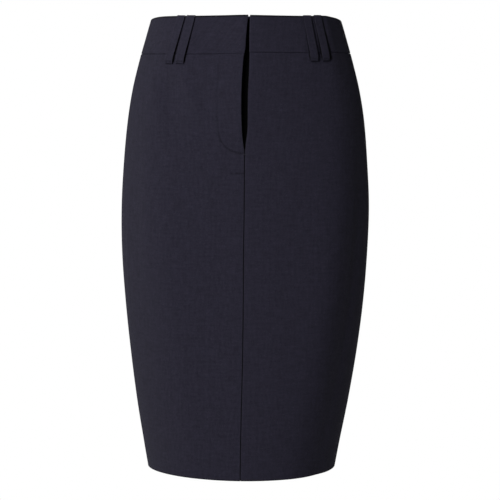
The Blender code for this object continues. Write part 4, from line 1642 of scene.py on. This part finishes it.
def on_cloth(places, lift):
    """Moves tack places out onto the cloth, whose height at each place lift(angle, drop) gives."""
    moved = []
    for centre, run, outward in places:
        drop = np.array([-centre[2]])
        angle = np.arctan2(
            (centre[0] - through(SECTIONS, "sway", drop)) / half_width(drop),
            -centre[1] / through(SECTIONS, "front" if centre[1] < 0 else "back", drop),
        )
        height = lift(angle, drop) + soft_folds(angle, drop)
        moved.append((centre + outward * height[0], run, outward))
    return moved


fly_tack = sew(
    "fly_foot_tack",
    on_cloth(
        tack_places(FLY_TACK_X, FLY_TACK_DROP, FLY_TACK_WIDTH, THREAD * 0.3),
        lambda angle, drop: front_form(angle, drop) + PROUD,
    ),
    TACK_HEIGHT * 1.25, THREAD * 1.3, tack_thread,
)
vent_tack = sew(
    "vent_tack",
    on_cloth(
        tack_places(VENT_TACK_WIDTH / 2, VENT_TACK_DROP, VENT_TACK_WIDTH, THREAD * 0.1, at_back=True),
        lambda angle, drop: np.zeros(np.shape(angle)),
    ),
    TACK_HEIGHT, THREAD * 1.1,
)
print("stitches at the fly's foot and the vent:", stitch_count(fly_tack), stitch_count(vent_tack))

# %% [markdown]
# ## The zip
#
# The zip is closed and lies behind the fly: two woven tapes with a nylon coil between them. In
# the fly's gap only the tape shows, as a black stripe whose near-black colour also paints the deep
# shade there. The left tape runs on up inside the band, narrower there, as a dark strip put in place
# of the shade where the band's two ends meet. The coil could be a curve with a bevel. It hardly
# shows, so its turns are small bars, each hooked over the next from the other side, made like stitches.

# %% Zip sizes
TAPE_DEPTH = 0.0024               # how far the tapes' faces lie below the form
TAPE_CLEAR = 0.0002               # and a little more, to keep off the cloth
TAPE_WALL = 0.0007
TAPE_HALF, TAPE_INNER = 0.016, 0.0016   # from the coil's middle to a tape's outer and inner edge
COIL_SET_BACK = 0.0035            # how far the coil lies behind the right front's edge
COIL_HALF = 0.0026
COIL_THICK = 0.0022
COIL_PITCH = 0.0013
ZIP_TOP, ZIP_FOOT = 0.0440, 0.1920
TAPE_LEFT_TOP = 0.0035            # the left tape's top end, inside the band, where it is a dark strip put in place of the shade between the band's ends
TAPE_NARROWER = 0.0055            # how much narrower it is there
TAPE_NARROWS_OVER = 0.008
COIL_SWAY = 0.0005                # its turns lie this far to each side by turns
COIL_TOP, COIL_FOOT = 0.0690, 0.1905
print("the coil is", round(1000 * (COIL_FOOT - COIL_TOP)), "mm long")


def coil_x(drop):
    return through(FLY, "over_edge", drop) - COIL_SET_BACK


# %% Tapes and coil
def make_tape(name, side, top):
    drops = np.linspace(top, ZIP_FOOT, 85)
    half = (TAPE_HALF - TAPE_INNER) / 2
    across, out = strip_section(2 * half, np.full(len(drops), TAPE_WALL), TAPE_WALL / 2, 7, 2)
    narrower = TAPE_NARROWER * (1 - smooth_step((drops - BAND_LEFT) / TAPE_NARROWS_OVER))
    across = across * (1 - narrower / (2 * half))[:, None]
    middle = side * ((TAPE_HALF + TAPE_INNER) / 2 - narrower / 2)
    drop = np.repeat(drops[:, None], across.shape[1], axis=1)
    angle = angle_at(coil_x(drop) + middle[:, None] + across, drop)
    points = raised(angle, drop, out - TAPE_DEPTH - TAPE_CLEAR - TAPE_WALL / 2)
    grain = np.stack([across, -drop], axis=-1)
    faces = capped_tube(*points.shape[:2])
    return new_piece(name, points, faces, grain, tape, "zip")


def make_coil():
    drops = np.arange(COIL_TOP, COIL_FOOT, COIL_PITCH)
    places = []
    for count, drop in enumerate(drops):
        level = np.array([drop])
        side = 1 if count % 2 else -1
        angle = angle_at(coil_x(level) + side * COIL_SWAY, level)
        outward = form_normal(angle, level)[0]
        across = form_across(angle, level)[0]
        centre = form_point(angle, level)[0] - outward * (TAPE_DEPTH + TAPE_WALL / 2)
        places.append((centre, across, outward))
    return sew("zip_coil", places, 2 * COIL_HALF - 0.001, COIL_THICK * 0.55, nylon)


for name, side, top in (("zip_tape_right", -1, ZIP_TOP), ("zip_tape_left", 1, TAPE_LEFT_TOP)):
    made = make_tape(name, side, top)
    print(made.name, "has", len(made.data.polygons), "faces")
coil = make_coil()
print("zip:", stitch_count(coil), "turns of coil")

# %% [markdown]
# ## Metal
#
# The slider, hook and bar are stamped metal, and their solids already have the right shape. A
# Bevel modifier softens their edges without touching the solids, and the finish is dark nickel,
# brushed in fine lines that break up its shine.

# %% Dark nickel
METAL_NODES = ("zip_slider", "waist_hook", "waist_bar")
METAL_LINES = (900.0, 900.0, 9000.0)    # brushed lines, in changes to a metre
METAL_WORN = 700.0
METAL_DARK, METAL_PALE = (0.09, 0.09, 0.095, 1.0), (0.17, 0.17, 0.18, 1.0)
METAL_ROUGHNESS, METAL_ROUGHER = 0.24, 0.25
METAL_RELIEF = 0.00002
METAL_BEVEL = 0.00018


def make_metal():
    material = bpy.data.materials.new("Dark nickel")
    material.use_nodes = True
    tree = material.node_tree
    place = add_node(tree, "TexCoord", {}).outputs["Object"]
    lines = noise(tree, stretch(tree, place, METAL_LINES), detail=3.0, roughness=0.5)
    worn = noise(tree, place, roughness=0.5, scale=METAL_WORN)
    relief = add_node(tree, "Bump", {"Distance": METAL_RELIEF, "Height": lines})
    feed(tree, tree.nodes["Principled BSDF"], {
        "Base Color": blend_colours(tree, worn, METAL_DARK, METAL_PALE),
        "Roughness": calculate(tree, "MULTIPLY_ADD", lines, METAL_ROUGHER, METAL_ROUGHNESS),
        "Normal": relief.outputs["Normal"],
        "Metallic": 1.0,
    })
    return material


metal = make_metal()
for node_name in METAL_NODES:
    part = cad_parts[node_name]
    part.data.materials.clear()
    part.data.materials.append(metal)
    bevel = part.modifiers.new("Softened edges", "BEVEL")
    bevel.width = METAL_BEVEL
    bevel.segments = 2
    bevel.limit_method = "ANGLE"
print("metal parts:", METAL_NODES)

# %% [markdown]
# ## The cut of each sheet
#
# A pattern cutter would know each piece by its flat size. The panels were laid without
# stretching, so the area of each sheet, allowances and hem included, is the area of its cut.

# %% The sheets' areas
FRONT_CUT = (0.305, 0.632)        # widest and longest, with allowances, hem and fly facing
FRONT_LEFT_CUT = (0.268, 0.632)
BACK_CUT = (0.262, 0.634)
BACK_RIGHT_CUT = (0.290, 0.634)

for piece, cut in (
    (front_right, FRONT_CUT), (front_left, FRONT_LEFT_CUT),
    (back_left, BACK_CUT), (back_right, BACK_RIGHT_CUT),
):
    print(piece.name, "area", round(mesh_area(piece), 4), "of", round(cut[0] * cut[1], 4), "m2")

# %% [markdown]
# ## Studio
#
# Dark cloth needs large, soft light. Big area lights stand round the skirt like softboxes. The
# strongest stands in front, raised and a little to the skirt's right, with another at its right
# side, so that the form turns gently into shade towards its left. The floor and the surroundings
# are white, as in a catalogue, but only to the camera: their light on the cloth is kept low, or
# the shaded side would lose its depth.

# %% Floor and surroundings
FLOOR_DROP = 1.05                 # the skirt hangs above the floor as on a stand
FLOOR_HALF = 30.0
FLOOR_GREY = (0.5, 0.5, 0.5, 1.0)
WHITE = (1.0, 1.0, 1.0, 1.0)
SURROUNDINGS = 0.002              # strength of the light that comes from all round


def white_to_camera(tree, white_kind, output, lit):
    """Shows plain white to the camera and the given shader to everything else."""
    seen = add_node(tree, "LightPath", {}).outputs["Is Camera Ray"]
    white = add_node(tree, white_kind, {"Color": WHITE, "Strength": 1.0}).outputs[0]
    mix = add_node(tree, "MixShader", {0: seen, 1: lit, 2: white})
    feed(tree, tree.nodes[output], {"Surface": mix.outputs[0]})


def make_floor():
    mesh = bpy.data.meshes.new("Floor")
    bm = bmesh.new()
    bmesh.ops.create_grid(bm, x_segments=1, y_segments=1, size=FLOOR_HALF)
    bm.to_mesh(mesh)
    bm.free()
    floor = bpy.data.objects.new("Floor", mesh)
    floor.location = (0.0, 0.0, -FLOOR_DROP)
    bpy.context.scene.collection.objects.link(floor)
    material = bpy.data.materials.new("Pale floor")
    material.use_nodes = True
    tree = material.node_tree
    shader = tree.nodes["Principled BSDF"]
    feed(tree, shader, {"Base Color": FLOOR_GREY, "Roughness": 0.9})
    white_to_camera(tree, "Emission", "Material Output", shader.outputs[0])
    mesh.materials.append(material)


make_floor()
world = bpy.data.worlds.new("Studio")
world.use_nodes = True
bpy.context.scene.world = world
background = world.node_tree.nodes["Background"]
feed(world.node_tree, background, {"Color": WHITE, "Strength": SURROUNDINGS})
white_to_camera(world.node_tree, "Background", "World Output", background.outputs[0])
print("floor", FLOOR_DROP, "m below the waist")

# %% Softboxes
Softbox = namedtuple("Softbox", "name azimuth elevation distance width height power")
SOFTBOXES = (
    Softbox("Softbox main", -28, 12, 2.8, 0.8, 2.0, 12.5),
    Softbox("Softbox main, raised", -25, 34, 2.8, 0.8, 1.6, 46.0),
    Softbox("Softbox right side", -108, 12, 2.8, 0.8, 2.0, 29.0),
    Softbox("Softbox left side, raised", 78, 34, 2.8, 0.8, 1.6, 2.8),
    Softbox("Softbox low behind left", 125, -14, 1.7, 0.8, 0.5, 1.4),
    Softbox("Softbox behind", 172, 14, 2.8, 1.2, 2.0, 30.0),
    Softbox("Softbox low", 24, -28, 1.5, 0.8, 0.5, 2.4),
)
AIM = Vector((0.0, 0.0, -0.32))


def make_softbox(box):
    """An area light at an azimuth round the skirt, 0 in front and positive towards its left."""
    data = bpy.data.lights.new(box.name, "AREA")
    data.shape = "RECTANGLE"
    data.size, data.size_y = box.width, box.height
    data.energy = box.power
    light = bpy.data.objects.new(box.name, data)
    a, e = math.radians(box.azimuth), math.radians(box.elevation)
    towards = Vector((math.sin(a) * math.cos(e), -math.cos(a) * math.cos(e), math.sin(e)))
    light.location = AIM + towards * box.distance
    light.rotation_mode = "QUATERNION"
    light.rotation_quaternion = (-towards).to_track_quat("-Z", "Y")
    light.visible_camera = False
    bpy.context.scene.collection.objects.link(light)
    return light


lights = [make_softbox(box) for box in SOFTBOXES]
view = bpy.context.scene.view_settings
view.view_transform = "Standard"
view.look = "None"
print(len(lights), "softboxes")
